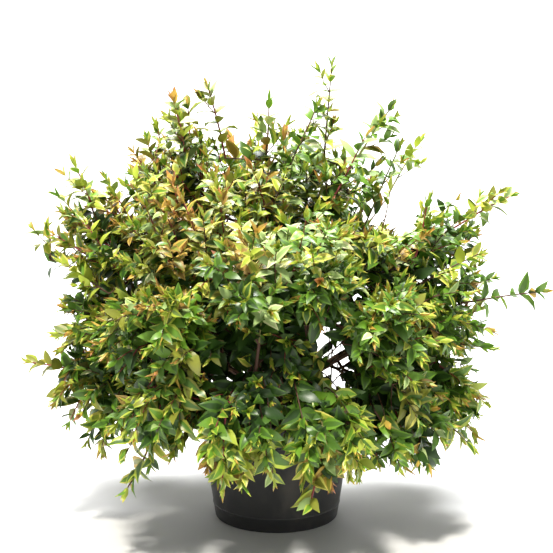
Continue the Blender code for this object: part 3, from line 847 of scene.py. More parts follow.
class Leaves:
    """Leaves and side twigs to be placed, the leaves in lists by the piece that they go to."""

    def __init__(self, rng):
        self.rng = rng
        self.lists = collections.defaultdict(list)
        self.twigs = []

    def add(self, piece, form, place, axis, face, scale, tones):
        """Place one leaf: its base, the way it points, the way its top faces, its size and its tones."""
        side = axis.cross(face)
        if side.length < 1e-6:
            return
        side.normalize()
        turn = Matrix((side, axis, side.cross(axis).normalized())).transposed().to_euler()
        numbers = (TONE_NAMES.index(tone) for tone in tones)
        self.lists[piece].append((tuple(place), tuple(turn), scale, form, *numbers))

    def deal(self, kind):
        """A middle tone and a margin tone for a leaf of this kind of spray."""
        pairs = LEAF_PAIRS[kind]
        return self.rng.choices(pairs, [chance for _, _, chance in pairs])[0][:2]

    def place_leaf(self, base, along, spoke, size, kind, spread):
        """Add one grown leaf at a node of a shoot, leaning out from it and drooping a little."""
        rng = self.rng
        out = (base - HEART).normalized()
        way = spoke_at(along, spoke, spread) - UP * rng.uniform(*DROOPS)
        way = (way + any_way(rng) * LEAF_WANDER).normalized()
        adaxial = along - way * along.dot(way)
        face = LIGHT_WAY * FACE_LIGHT + out * FACE_OUT + adaxial * FACE_SHOOT + any_way(rng) * FACE_WANDER
        face.normalize()
        tip = base + way * size
        middle = base + way * (size * 0.5)
        if in_oval(middle, SKY_GAPS) or in_oval(tip, SKY_GAPS) or tip.z < LOWEST_LEAF:
            return
        deep = skin_depth(base) > DEEP_LEAF
        hollow = in_front_hollow(base)
        if hollow and rng.random() < HOLLOW_BARE:
            return
        # Underside tones grow more common toward the top: partly underside colour, partly painted light for
        # top leaves lit from behind
        pale = PALE_EVERYWHERE + PALE_TOP * ease(base.z, *PALE_TOP_HEIGHTS)
        if face.dot(out) < UNDERSIDE_FACING or not hollow and rng.random() < pale:
            kind = "under"
        # Leaves deep in the crown or in a front hollow mostly take the deep tone: painted shade
        elif (hollow or deep) and rng.random() < DEEP_SHARE:
            kind = "deep"
        elif rng.random() < STRAY_SPRAY:
            kind = rng.choice(SHOOT_KINDS)
        tones = self.deal(kind)
        scale = (size * rng.uniform(*LEAF_WIDTHS), size, size)
        if deep:
            form = MATURE_FORMS + YOUNG_FORMS + rng.randrange(SHADE_FORMS)
        else:
            form = rng.randrange(MATURE_FORMS)
        self.add("shade" if deep else region_of(base), form, base, way, face, scale, tones)

    def place_tip(self, tip, along, size, kind):
        """Add the tuft of young leaves at the end of a shoot."""
        rng = self.rng
        kind = "warm_tip" if rng.random() < TIP_WARMTH.get(kind, COOL_TIP_WARMTH) else "cool_tip"
        side = along.orthogonal().normalized()
        other = along.cross(side)
        count = rng.randint(*TUFT_COUNTS)
        start = rng.uniform(0, math.tau)
        for index in range(count):
            turn = start + math.tau * index / count
            spread = rng.uniform(*TUFT_SPREADS)
            way = spoke_at(along, spoke_at(side, other, turn), spread).normalized()
            face = (along - way * along.dot(way) + any_way(rng) * TUFT_WANDER).normalized()
            reach = size * rng.uniform(*TUFT_SIZES)
            if in_oval(tip + way * reach * 0.5, SKY_GAPS) or tip.z + way.z * reach < LOWEST_LEAF:
                continue
            tones = self.deal(kind)
            form = MATURE_FORMS + rng.randrange(YOUNG_FORMS)
            self.add("young", form, tip, way, face, (reach, reach, reach), tones)

    def dress_shoot(self, path, kind, vigour, wood, may_fork):
        """Hang pairs of leaves, side twigs and a tip tuft on one shoot."""
        growth = settings().growth
        rng = self.rng
        points = path[::-1]
        runs = runs_along(points)
        full = growth.leaf_length * vigour
        tip, along = at_run(points, runs, 0.0)
        self.place_tip(tip, along, growth.young_length * rng.uniform(*YOUNG_SIZES), kind)
        gap = run = rng.uniform(*FIRST_PAIR_RUN)
        turn = rng.uniform(0, math.pi)
        while run < runs[-1] * LEAFY_SHARE:
            base, along = at_run(points, runs, run)
            side = along.cross(UP)
            side = side.normalized() if side.length > NEARLY_UPRIGHT else along.orthogonal().normalized()
            other = side.cross(along).normalized()
            spoke = side * math.cos(turn) + other * math.sin(turn) * SPRAY_FLATNESS
            spoke.normalize()
            grown_share = LEAST_SIZE + (1 - LEAST_SIZE) * ease(run, 0.0, FULL_SIZE_RUN)
            spread = math.radians(blend(*GROWN_SPREADS, ease(run, 0.0, SPREAD_RUN)))
            for way in (spoke, -spoke):
                size = full * grown_share * rng.uniform(*LEAF_SIZES)
                if may_fork and run > FORK_FROM and rng.random() < growth.side_twigs:
                    self.grow_side_twig(base, along, way, kind, vigour, wood)
                if rng.random() < LEAF_KEPT:
                    self.place_leaf(base, along, way, size, kind, spread)
            turn += math.pi / 2
            gap = min(growth.pair_spacing * rng.uniform(*PAIR_GAPS), gap * GAP_GROWTH)
            run += gap

    def grow_side_twig(self, base, along, spoke, kind, vigour, wood):
        """A short twig from a leaf's axil, with pairs of leaves of its own."""
        reach = self.rng.uniform(*SIDE_REACHES)
        lift = blend(*SIDE_LIFTS, height_share(base))
        way = along * SIDE_PULL + spoke * SIDE_PULL + UP * lift + any_way(self.rng) * SIDE_WANDER
        tip = base + way.normalized() * reach
        middle = base.lerp(tip, 0.5) + (spoke * SIDE_BOW + UP * SIDE_ARCH) * reach
        if in_oval(tip, SKY_GAPS) or tip.z < LOWEST_SIDE_TIP:
            return
        path = bend(base, base.lerp(middle, 0.66), middle.lerp(tip, 0.34), tip, SIDE_POINTS)
        self.twigs.append((path, wood))
        self.dress_shoot(path, kind, vigour * SIDE_VIGOUR, wood, False)

    def dress_limbs(self, limbs):
        """Hang shade leaves on the thin limbs inside the crown, mostly in the deep tone that paints the
        shade there, and more of them in the dark hollows.
        """
        rng = self.rng
        for places, thick in limbs:
            for begin, end, radius in zip(places, places[1:], thick[1:]):
                along = end - begin
                if radius > THICKEST_LEAFY_LIMB or along.length < 1e-5:
                    continue
                along.normalize()
                base = begin.lerp(end, rng.random())
                side = along.orthogonal().normalized()
                other = along.cross(side)
                turn = rng.uniform(0, math.tau)
                spoke = spoke_at(side, other, turn)
                spokes = [spoke, -spoke]
                # More deep-toned leaves in the dark hollows: painted shade
                if in_oval(base, DARK_HOLLOWS):
                    spokes += [side, other, -side, -other]
                for spoke in spokes:
                    size = settings().growth.leaf_length * rng.uniform(*SHADE_SIZES)
                    self.place_leaf(base, along, spoke, size, "deep", SHADE_SPREAD)


def region_of(place):
    """The part of the crown that a leaf belongs to."""
    if place.z > TOP_FROM:
        return "top_left" if place.x < TOP_SPLIT else "top_right"
    turn = math.degrees(math.atan2(place.x, -place.y))
    if abs(turn) < FRONT_WITHIN:
        return "front"
    if abs(turn) > BACK_BEYOND:
        return "back"
    return "right" if turn > 0 else "left"


def at_run(points, runs, run):
    """The place and the outward direction at a distance from the tip, of points that start there."""
    index = min(len(points) - 2, max(0, bisect.bisect_right(runs, run) - 1))
    near, far = points[index : index + 2]
    span = max(1e-9, runs[index + 1] - runs[index])
    return near.lerp(far, (run - runs[index]) / span), (near - far).normalized()


def taper(path, foot_radius, tip_radius, stoutness=1.0):
    """Radii along a twig, from its foot to its tip."""
    last = len(path) - 1
    return [stoutness * blend(foot_radius, tip_radius, step / last) for step in range(last + 1)]


@functools.lru_cache(maxsize=None)
def dressed():
    """Every leaf by piece, and every twig as a path with its radii and tone."""
    growth = settings().growth
    radii = (growth.shoot_radius, growth.twig_radius)
    shoots, limbs = grown()
    leaves = Leaves(random.Random(growth.seed + 1))
    for shoot in shoots:
        leaves.dress_shoot(shoot.path, shoot.kind, shoot.size, shoot.wood, True)
    tubes = [(shoot.path, taper(shoot.path, *radii, shoot.stout), shoot.wood) for shoot in shoots]
    tubes += [(path, taper(path, *radii, SIDE_STOUTNESS), wood) for path, wood in leaves.twigs]
    leaves.dress_limbs(limbs)
    for places, thick in limbs:
        tubes.append((places, thick, "dark_twig" if thick[0] < DARK_LIMB_UNDER else "brown_twig"))
    for first, second in BARE_TWIGS.values():
        path = sprig_path(Vector(first), Vector(second), leaves.rng)
        tubes.append((path, taper(path, *BARE_TWIG_RADII), "dark_twig"))
    return leaves.lists, tubes


# Meshes


def put_in_scene(name, data):
    """A new object in the scene."""
    made = bpy.data.objects.new(name, data)
    bpy.context.scene.collection.objects.link(made)
    return made


def finish_piece(name, mesh, slot, *replaced):
    """Make a mesh a piece of the plant on its body, and hide the nodes that it stands for. The slot is not
    used.
    """
    piece = put_in_scene(name, mesh)
    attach(piece, BODY)
    if replaced:
        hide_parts(*replaced)


def new_mesh(name, verts, faces, edges=()):
    """A mesh from its corners and faces."""
    mesh = bpy.data.meshes.new(name)
    mesh.from_pydata(verts, edges, faces)
    return mesh


def store(mesh, name, kind, domain, values):
    """Store a value for each point, edge or face of a mesh."""
    layer = mesh.attributes.new(name, kind, domain)
    layer.data.foreach_set("vector" if kind == "FLOAT_VECTOR" else "value", values)


def evaluated(item):
    """The mesh of an object as its modifiers leave it."""
    graph = bpy.context.evaluated_depsgraph_get()
    return bpy.data.meshes.new_from_object(item.evaluated_get(graph))


def drop(item):
    """Remove an object and its mesh."""
    mesh = item.data
    bpy.data.objects.remove(item)
    bpy.data.meshes.remove(mesh)


def drop_collection(holder):
    """Remove a collection of forms once their copies are real."""
    for item in list(holder.objects):
        drop(item)
    bpy.data.collections.remove(holder)


def ring(radius, sides):
    """Places round a circle, counted from +X."""
    turns = [math.tau * side / sides for side in range(sides)]
    return [(radius * math.cos(turn), radius * math.sin(turn)) for turn in turns]


def ring_faces(start, rings, sides, capped=True):
    """The faces of a tube of rings of corners. The middles of its caps follow the last ring."""
    faces = []
    for low in range(start, start + (rings - 1) * sides, sides):
        for side in range(sides):
            after = (side + 1) % sides
            faces.append((low + side, low + after, low + sides + after, low + sides + side))
    foot = start + rings * sides
    for side in range(sides if capped else 0):
        after = (side + 1) % sides
        faces.append((foot, start + after, start + side))
        faces.append((foot + 1, foot - sides + side, foot - sides + after))
    return faces


def turned(name, profile, sides, close_low, close_high):
    """A closed mesh turned round the Z axis from a profile of radius and height."""
    verts = [(x, y, height) for radius, height in profile for x, y in ring(radius, sides)]
    verts += [(0.0, 0.0, close_low), (0.0, 0.0, close_high)]
    return new_mesh(name, verts, ring_faces(0, len(profile), sides))


def arc(middle, radius, start, stop, count):
    """Points of a profile on a round, by angles in degrees."""
    angles = [math.radians(blend(start, stop, step / (count - 1))) for step in range(count)]
    return [(middle[0] + radius * math.cos(turn), middle[1] + radius * math.sin(turn)) for turn in angles]


# Leaf forms

SPINE_STEPS = 12
CURL_POWER = 1.6
EDGE_LAG = math.pi * 0.6

# How many forms, outline, width, curl, fold, cup, wave, and corners across the leaf
LEAF_KINDS = (
    (MATURE_FORMS, MATURE_OUTLINE, (0.40, 0.53), (0.35, 1.35), (0.20, 0.66), 0.20, 0.032, 5),
    (YOUNG_FORMS, YOUNG_OUTLINE, (0.30, 0.40), (-0.35, 0.60), (0.45, 0.85), 0.0, 0.015, 3),
    (SHADE_FORMS, SHADE_OUTLINE, (0.44, 0.56), (0.30, 1.0), (0.10, 0.45), 0.0, 0.020, 3),
)


def bent(form, run, across, rise):
    """Where a place on a straight leaf goes when the leaf is lifted, curled, twisted and swayed."""
    y = 0.0
    z = 0.0
    for step in range(SPINE_STEPS):
        tilt = form["lift"] - form["curl"] * (run * (step + 0.5) / SPINE_STEPS) ** CURL_POWER
        y += math.cos(tilt) * run / SPINE_STEPS
        z += math.sin(tilt) * run / SPINE_STEPS
    tilt = form["lift"] - form["curl"] * run**CURL_POWER
    turn = form["twist"] * run
    x = across * math.cos(turn) - rise * math.sin(turn) + form["sway"] * run * run
    up = across * math.sin(turn) + rise * math.cos(turn)
    return (x, y - up * math.sin(tilt), z + up * math.cos(tilt))


def leaf_form(name, outline, width, form, rows):
    """One leaf of unit length on the Y axis: folded, bent and waved, with a margin band."""
    spread = rows // 2
    verts = [bent(form, 0.0, 0.0, 0.0)]
    for (run, reach), middle in zip(outline, form["middle"]):
        half = width / 2 * reach
        for side in range(-spread, spread + 1):
            at_edge = abs(side) == spread
            amount = 1.0 if at_edge else middle * (spread > 1)
            across = half * amount * math.copysign(1, side) * math.cos(form["fold"]) if side else 0.0
            rise = half * amount * math.sin(form["fold"])
            if at_edge:
                phase = form["wave_phase"] + (EDGE_LAG if side > 0 else 0.0)
                rise += form["wave"] * math.sin(run * form["waves"] * math.tau + phase)
                rise -= form["cup"] * half
            verts.append(bent(form, run, across, rise))
    tip = len(verts)
    verts.append(bent(form, 1.0, 0.0, 0.0))
    grid = [[0] * rows, *(list(range(first, first + rows)) for first in range(1, tip, rows)), [tip] * rows]
    faces = []
    in_margin = []
    for column in range(rows - 1):
        outer = spread > 1 and column in (0, rows - 2)
        for below, above in zip(grid, grid[1:]):
            low, after = below[column : column + 2]
            high, high_after = above[column : column + 2]
            if column < spread:
                pair = ((high_after, high, low), (after, high_after, low))
            else:
                pair = ((after, high, low), (high_after, high, after))
            whole = [face for face in pair if len(set(face)) == 3]
            faces += whole
            in_margin += [outer or (spread == 1 and above is grid[-1])] * len(whole)
    mesh = new_mesh(name, verts, faces)
    store(mesh, "margin_band", "INT", "FACE", in_margin)
    mesh.shade_smooth()
    midrib = [row[spread] for row in grid]
    creases = set(zip(midrib, midrib[1:]))
    creased = [tuple(sorted(edge.vertices)) in creases for edge in mesh.edges]
    store(mesh, "sharp_edge", "BOOLEAN", "EDGE", creased)
    return mesh


def form_values(rng, curl, fold, cup, wave):
    """Random bends for one leaf form, in radians and shares of its length."""
    return {
        "lift": rng.uniform(0.05, 0.35),
        "curl": rng.uniform(*curl),
        "fold": rng.uniform(*fold),
        "cup": rng.uniform(0.0, cup),
        "wave": rng.uniform(0.3, 1.0) * wave,
        "waves": rng.uniform(0.9, 1.7),
        "wave_phase": rng.uniform(0, math.tau),
        "twist": rng.uniform(-0.35, 0.35),
        "sway": rng.uniform(-0.09, 0.09),
        "middle": [rng.uniform(*MIDDLE_SHARE) for _ in MATURE_OUTLINE],
    }


def collected(name, meshes):
    """A collection with an object for each form."""
    holder = bpy.data.collections.new(name)
    for mesh in meshes:
        holder.objects.link(bpy.data.objects.new(mesh.name, mesh))
    return holder


def leaf_forms():
    """A collection of leaf forms, grown ones first, then young ones, then plain ones for the shade."""
    rng = random.Random(settings().growth.seed + 2)
    meshes = []
    for count, outline, widths, curl, fold, cup, wave, rows in LEAF_KINDS:
        for _ in range(count):
            values = form_values(rng, curl, fold, cup, wave)
            name = f"leaf_form_{len(meshes):02d}"
            meshes.append(leaf_form(name, outline, rng.uniform(*widths), values, rows))
    return collected("leaf_forms", meshes)


# Node trees


def add(tree, kind, sockets=None, **traits):
    """Add a node, give its sockets plain values or links, and give back its outputs."""
    node = tree.nodes.new(kind)
    for trait, value in traits.items():
        setattr(node, trait, value)
    for label, value in (sockets or {}).items():
        if isinstance(value, bpy.types.NodeSocket):
            tree.links.new(value, node.inputs[label])
        else:
            node.inputs[label].default_value = value
    return node.outputs


def new_tree(name, kind, inputs, outputs):
    """An empty node tree with named sockets, and its inputs to read from."""
    tree = bpy.data.node_groups.new(name, kind)
    for label, (socket_type, value) in inputs.items():
        socket = tree.interface.new_socket(label, in_out="INPUT", socket_type="NodeSocket" + socket_type)
        if value is not None:
            socket.default_value = value
    for label, socket_type in outputs.items():
        tree.interface.new_socket(label, in_out="OUTPUT", socket_type="NodeSocket" + socket_type)
    return tree, add(tree, "NodeGroupInput")


def geometry_tree(name, **inputs):
    """An empty geometry node tree, with an input for each named value."""
    named = {label.replace("_", " "): value for label, value in inputs.items()}
    sockets = {"Geometry": ("Geometry", None), **named}
    tree, entry = new_tree(name, "GeometryNodeTree", sockets, {"Geometry": "Geometry"})
    tree.is_modifier = True
    return tree, entry


def stored(tree, name, kind="INT"):
    """The output of a node that reads a named attribute."""
    return add(tree, "GeometryNodeInputNamedAttribute", {"Name": name}, data_type=kind)["Attribute"]


def copies_on(tree, points, forms, turn, size, **more):
    """Copies of a collection's forms on points."""
    apart = {"Collection": forms, "Separate Children": True, "Reset Children": True}
    picked = add(tree, "GeometryNodeCollectionInfo", apart)[0]
    sockets = {"Points": points, "Instance": picked, "Pick Instance": True, "Rotation": turn, "Scale": size}
    return add(tree, "GeometryNodeInstanceOnPoints", {**sockets, **more})[0]


def finish_tree(tree, geometry, materials, number=None):
    """Make the copies real, and set each number's material."""
    geometry = add(tree, "GeometryNodeRealizeInstances", {0: geometry})[0]
    for index, material in enumerate(materials):
        sockets = {"Geometry": geometry, "Material": material}
        if index:
            compared = {2: number, 3: index}
            traits = {"data_type": "INT", "operation": "EQUAL"}
            sockets["Selection"] = add(tree, "FunctionNodeCompare", compared, **traits)[0]
        geometry = add(tree, "GeometryNodeSetMaterial", sockets)[0]
    add(tree, "NodeGroupOutput", {0: geometry})
    return tree


def spray_tree(materials):
    """Leaves on points: each point's form, turn, size and tones are its own attributes."""
    tree, entry = geometry_tree("leaf_sprays", Leaf_Forms=("Collection", None), Leaf_Scale=("Float", 1.0))
    size = {0: stored(tree, "leaf_size", "FLOAT_VECTOR"), "Scale": entry["Leaf Scale"]}
    sized = add(tree, "ShaderNodeVectorMath", size, operation="SCALE")[0]
    turned_by = add(tree, "FunctionNodeEulerToRotation", {0: stored(tree, "leaf_turn", "FLOAT_VECTOR")})[0]
    form = {"Instance Index": stored(tree, "leaf_form")}
    leaves = copies_on(tree, entry["Geometry"], entry["Leaf Forms"], turned_by, sized, **form)
    tones = {"False": stored(tree, "leaf_tone"), "True": stored(tree, "margin_tone")}
    band = {"Switch": stored(tree, "margin_band"), **tones}
    number = add(tree, "GeometryNodeSwitch", band, input_type="INT")[0]
    return finish_tree(tree, leaves, materials, number)


def tube_tree(materials):
    """Tubes along edges: each point's radius and tone are its own attributes."""
    tree, entry = geometry_tree("twig_tubes", Sides=("Int", TWIG_SIDES))
    curves = add(tree, "GeometryNodeMeshToCurve", {0: entry["Geometry"]})[0]
    circle = {"Radius": 1.0, "Resolution": entry["Sides"]}
    profile = add(tree, "GeometryNodeCurvePrimitiveCircle", circle)[0]
    radius = stored(tree, "twig_radius", "FLOAT")
    sockets = {"Curve": curves, "Profile Curve": profile, "Scale": radius, "Fill Caps": True}
    tubes = add(tree, "GeometryNodeCurveToMesh", sockets)[0]
    return finish_tree(tree, tubes, materials, stored(tree, "twig_tone"))


CRUMB_SIZES = (0.45, 1.5)
CRUMB_SEED = 3
CRUMBS_PER_AREA = 60000.0


def crumb_tree(materials):
    """Crumbs of bark and peat scattered over a surface, each turned and sized at random."""
    tree, entry = geometry_tree(
        "mix_crumbs",
        Crumb_Forms=("Collection", None),
        Crumb_Size=("Float", 0.005),
        Crumbs_per_Area=("Float", CRUMBS_PER_AREA),
        Seed=("Int", CRUMB_SEED),
    )
    seed = {"Seed": entry["Seed"]}
    sockets = {"Mesh": entry["Geometry"], "Density": entry["Crumbs per Area"], **seed}
    points = add(tree, "GeometryNodeDistributePointsOnFaces", sockets)["Points"]
    any_turn = {"Max": (math.tau,) * 3, **seed}
    turn = add(tree, "FunctionNodeRandomValue", any_turn, data_type="FLOAT_VECTOR")[0]
    turned_by = add(tree, "FunctionNodeEulerToRotation", {0: turn})[0]
    low, high = CRUMB_SIZES
    size = add(tree, "FunctionNodeRandomValue", {2: low, 3: high, **seed}, data_type="FLOAT")[1]
    sized = add(tree, "ShaderNodeMath", {0: size, 1: entry["Crumb Size"]}, operation="MULTIPLY")[0]
    crumbs = copies_on(tree, points, entry["Crumb Forms"], turned_by, sized)
    return finish_tree(tree, crumbs, materials)


def run_tree(tree, mesh, values, name):
    """Run a node tree over a mesh and give the result as a plain mesh."""
    carrier = put_in_scene(name + "_carrier", mesh)
    modifier = carrier.modifiers.new(tree.name, "NODES")
    modifier.node_group = tree
    for item in tree.interface.items_tree:
        if item.in_out == "INPUT" and item.name in values:
            modifier[item.identifier] = values[item.name]
    made = evaluated(carrier)
    made.name = name
    carrier.modifiers.remove(modifier)
    drop(carrier)
    for label in [layer.name for layer in made.attributes]:
        if label.startswith(("leaf_", "twig_", "margin_")):
            made.attributes.remove(made.attributes[label])
    made.calc_loop_triangles()
    if len(made.loop_triangles) >= MOST_TRIANGLES:
        raise RuntimeError(f"{name} has {len(made.loop_triangles)} triangles, too many for one piece")
    return made


def point_mesh(rows, name):
    """A mesh of loose points that carry what each leaf is."""
    places, turns, sizes, forms, tones, margins = zip(*rows)
    mesh = new_mesh(name + "_points", places, [])
    for label, values in (("leaf_turn", turns), ("leaf_size", sizes)):
        store(mesh, label, "FLOAT_VECTOR", "POINT", [number for value in values for number in value])
    for label, values in (("leaf_form", forms), ("leaf_tone", tones), ("margin_tone", margins)):
        store(mesh, label, "INT", "POINT", values)
    return mesh


def line_mesh(tubes, name):
    """A mesh of edges along each twig, with its radius and tone at each point."""
    verts = []
    edges = []
    for path, _, _ in tubes:
        edges += [(step, step + 1) for step in range(len(verts), len(verts) + len(path) - 1)]
        verts += [tuple(point) for point in path]
    mesh = new_mesh(name + "_lines", verts, [], edges)
    radii = [radius for _, thick, _ in tubes for radius in thick]
    tones = [WOOD_NAMES.index(tone) for path, _, tone in tubes for _ in path]
    store(mesh, "twig_radius", "FLOAT", "POINT", radii)
    store(mesh, "twig_tone", "INT", "POINT", tones)
    return mesh


# Materials

LEAF_ROUGHNESS = 0.40
UNDERSIDE_ROUGHNESS = 0.75
WOOD_ROUGHNESS = 0.6
BARK_UV = "BarkMap"
ALONG_LIMB = (1.0, 0.16, 1.0)


def plain_material(name, base, roughness, specular=0.5):
    """A material of one base colour, for small parts whose colours are dealt out by spray."""
    made = bpy.data.materials.new(name)
    made.use_nodes = True
    inputs = made.node_tree.nodes["Principled BSDF"].inputs
    inputs["Base Color"].default_value = (*base, 1.0)
    inputs["Roughness"].default_value = roughness
    inputs["Specular IOR Level"].default_value = specular
    return made


def leaf_materials():
    """A plain material for each leaf tone, matt on the undersides."""
    tones = settings().leaf_tones
    rough = {"sage": UNDERSIDE_ROUGHNESS, "pale_sage": UNDERSIDE_ROUGHNESS}
    return [
        plain_material("leaf_" + name, getattr(tones, name), rough.get(name, LEAF_ROUGHNESS))
        for name in TONE_NAMES
    ]


def twig_materials():
    """A plain material for each wood tone."""
    tones = settings().wood_tones
    return [plain_material("wood_" + name, getattr(tones, name), WOOD_ROUGHNESS) for name in WOOD_NAMES]


COARSE_DETAIL = 5.0
FINE_DETAIL = 3.0
FINE_SHARE = 0.35


@functools.lru_cache(maxsize=None)
def mottle_group():
    """Coarse and fine mottling of a surface, as a mask and as a height."""
    inputs = {
        "Vector": ("Vector", None),
        "Scale": ("Float", 100.0),
        "Fine Scale": ("Float", 900.0),
        "Low": ("Float", 0.35),
        "High": ("Float", 0.65),
    }
    outputs = {"Mask": "Float", "Height": "Float"}
    group, entry = new_tree("surface_mottle", "ShaderNodeTree", inputs, outputs)
    textures = []
    for scale, detail in (("Scale", COARSE_DETAIL), ("Fine Scale", FINE_DETAIL)):
        sockets = {"Vector": entry["Vector"], "Scale": entry[scale], "Detail": detail}
        textures.append(add(group, "ShaderNodeTexNoise", sockets)["Fac"])
    coarse, fine = textures
    sockets = {"Value": coarse, "From Min": entry["Low"], "From Max": entry["High"]}
    mask = add(group, "ShaderNodeMapRange", sockets, interpolation_type="SMOOTHSTEP")["Result"]
    height = add(group, "ShaderNodeMath", {0: fine, 1: FINE_SHARE, 2: coarse}, operation="MULTIPLY_ADD")[0]
    add(group, "NodeGroupOutput", {"Mask": mask, "Height": height})
    return group


class Surface:
    """A mottled material under construction."""

    def __init__(self, name, uv_map=None):
        self.material = bpy.data.materials.new(name)
        self.material.use_nodes = True
        self.tree = self.material.node_tree
        if uv_map:
            self.where = add(self.tree, "ShaderNodeUVMap", uv_map=uv_map)["UV"]
        else:
            self.where = add(self.tree, "ShaderNodeTexCoord")["Object"]

    def mottle(self, scale, fine_scale, low, high, stretch=None):
        """The shared mottling with this surface's own values: its mask and its height."""
        where = self.where
        if stretch:
            where = add(self.tree, "ShaderNodeMapping", {"Scale": stretch, "Vector": where})["Vector"]
        values = {"Vector": where, "Scale": scale, "Fine Scale": fine_scale, "Low": low, "High": high}
        group = add(self.tree, "ShaderNodeGroup", values, node_tree=mottle_group())
        return group["Mask"], group["Height"]

    def spread(self, mask, low, high):
        """A mask turned into values from low to high."""
        sockets = {"Value": mask, "To Min": low, "To Max": high}
        return add(self.tree, "ShaderNodeMapRange", sockets)["Result"]

    def finish(self, thin, low, high, roughness, height, strength, distance):
        """Mix two colours by a mask, link the roughness, and raise the surface by a height."""
        colours = {0: thin, 6: (*low, 1.0), 7: (*high, 1.0)}
        bump = {"Strength": strength, "Distance": distance, "Height": height}
        looks = {
            "Base Color": add(self.tree, "ShaderNodeMix", colours, data_type="RGBA")[2],
            "Roughness": roughness,
            "Normal": add(self.tree, "ShaderNodeBump", bump)["Normal"],
        }
        shader = self.tree.nodes["Principled BSDF"]
        for label, value in looks.items():
            self.tree.links.new(value, shader.inputs[label])
        return self.material


def pot_material():
    """Matt charcoal plastic with a moulded grain, and dust that lies on it in faint splashes."""
    look = settings().pot
    surface = Surface("pot_plastic_moulded")
    dusty, _ = surface.mottle(scale=26.0, fine_scale=420.0, low=0.50, high=0.78, stretch=(1.0, 1.0, 0.45))
    _, grain = surface.mottle(scale=900.0, fine_scale=2600.0, low=0.3, high=0.7)
    thin = surface.spread(dusty, 0.02, 0.34)
    roughness = surface.spread(dusty, 0.44, 0.72)
    return surface.finish(thin, look.plastic, look.dust, roughness, grain, strength=0.25, distance=0.0002)


def mix_material(name, darker):
    """Damp peat and bark crumbs."""
    look = settings().pot
    surface = Surface(name)
    mask, height = surface.mottle(scale=150.0, fine_scale=700.0, low=0.36, high=0.66)
    low = [value * darker for value in look.mix_dark]
    roughness = surface.spread(mask, 0.95, 0.78)
    return surface.finish(mask, low, look.mix_light, roughness, height, strength=0.8, distance=0.0012)


def bark_material():
    """Thin flaking bark, streaked along the limb."""
    look = settings().bark
    surface = Surface("bark_flaking", BARK_UV)
    mask, height = surface.mottle(scale=420.0, fine_scale=1500.0, low=0.38, high=0.62, stretch=ALONG_LIMB)
    roughness = surface.spread(mask, 0.92, 0.70)
    return surface.finish(mask, look.dark, look.light, roughness, height, strength=0.7, distance=0.0006)


# Pot and potting mix

TURNED_SIDES = 144
SMOOTH_UNDER = math.radians(35)
WALL = 0.0024
FLOOR = 0.0035
FOOT_ROUND = 0.003
RIM_DEPTH = 0.016
RIM_OVERHANG = 0.005
RIM_UNDERCUT = 0.0015
RIM_ROUND = 0.0016
RIM_SMALL_ROUND = 0.0012
RIB_HEIGHT = 0.0007
RIB_WIDTH = 0.0016
RIB_STEPS = 6
LOW_RIB = 0.022
HIGH_RIB_DROP = 0.020
DRAIN_HOLES = 6
DRAIN_RADIUS = 0.007
DRAIN_RING = 0.066
DRAIN_SIDES = 24


def widest(node, above=-1.0, below=1.0):
    """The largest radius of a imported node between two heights."""
    corners = corners_of(node)
    inside = corners[(corners[:, 2] > above) & (corners[:, 2] < below)]
    return float(np.hypot(inside[:, 0], inside[:, 1]).max())


def pot_profile():
    """The pot's turned outline: foot, tapered wall with two moulded lines, rolled rim, inside and floor."""
    height = float(corners_of("pot")[:, 2].max())
    base = widest("pot", below=FOOT_ROUND / 2) + FOOT_ROUND
    rim = widest("pot")
    top = rim - RIM_OVERHANG
    slope = (top - base) / height

    def wall(level):
        """The wall's outer radius at a level."""
        return base + slope * level

    rim_foot = height - RIM_DEPTH
    profile = arc((base - FOOT_ROUND, FOOT_ROUND), FOOT_ROUND, -90, 0, 6)
    for level in (LOW_RIB, rim_foot - HIGH_RIB_DROP):
        for step in range(RIB_STEPS + 1):
            up = step / RIB_STEPS
            z = level + RIB_WIDTH * (up - 0.5) * 2
            profile.append((wall(z) + RIB_HEIGHT * math.sin(math.pi * up), z))
    profile.append((wall(rim_foot - RIM_UNDERCUT), rim_foot - RIM_UNDERCUT))
    small = RIM_SMALL_ROUND
    profile += arc((rim - small, rim_foot + small), small, -110, 0, 5)
    profile += arc((rim - RIM_ROUND, height - RIM_ROUND), RIM_ROUND, 0, 90, 5)
    profile += arc((top - WALL + small, height - small), small, 90, 180, 4)
    profile.append((wall(rim_foot) - WALL, rim_foot))
    profile.append((wall(FLOOR + FOOT_ROUND) - WALL, FLOOR + FOOT_ROUND))
    profile += arc((wall(FLOOR) - WALL - FOOT_ROUND, FLOOR + FOOT_ROUND), FOOT_ROUND, 0, -90, 4)
    return profile


def drained(mesh):
    """The pot with round drain holes cut through its floor."""
    verts = []
    faces = []
    spokes = [Vector((*spoke, 0.0)) * DRAIN_RADIUS for spoke in ring(1.0, DRAIN_SIDES)]
    for spot in ring(1.0, DRAIN_HOLES):
        middle = Vector((*spot, 0.0)) * DRAIN_RING
        low = len(verts)
        high = low + DRAIN_SIDES
        for level in (-FLOOR, 3 * FLOOR):
            middle.z = level
            verts += [middle + spoke for spoke in spokes]
        faces += [tuple(range(high - 1, low - 1, -1)), tuple(range(high, high + DRAIN_SIDES))]
        faces += ring_faces(low, 2, DRAIN_SIDES, capped=False)
    pegs = put_in_scene("drain_pegs", new_mesh("drain_pegs", verts, faces))
    pot = put_in_scene("pot_blank", mesh)
    cut = pot.modifiers.new("drain_holes", "BOOLEAN")
    cut.operation = "DIFFERENCE"
    cut.solver = "EXACT"
    cut.object = pegs
    made = evaluated(pot)
    drop(pot)
    drop(pegs)
    return made


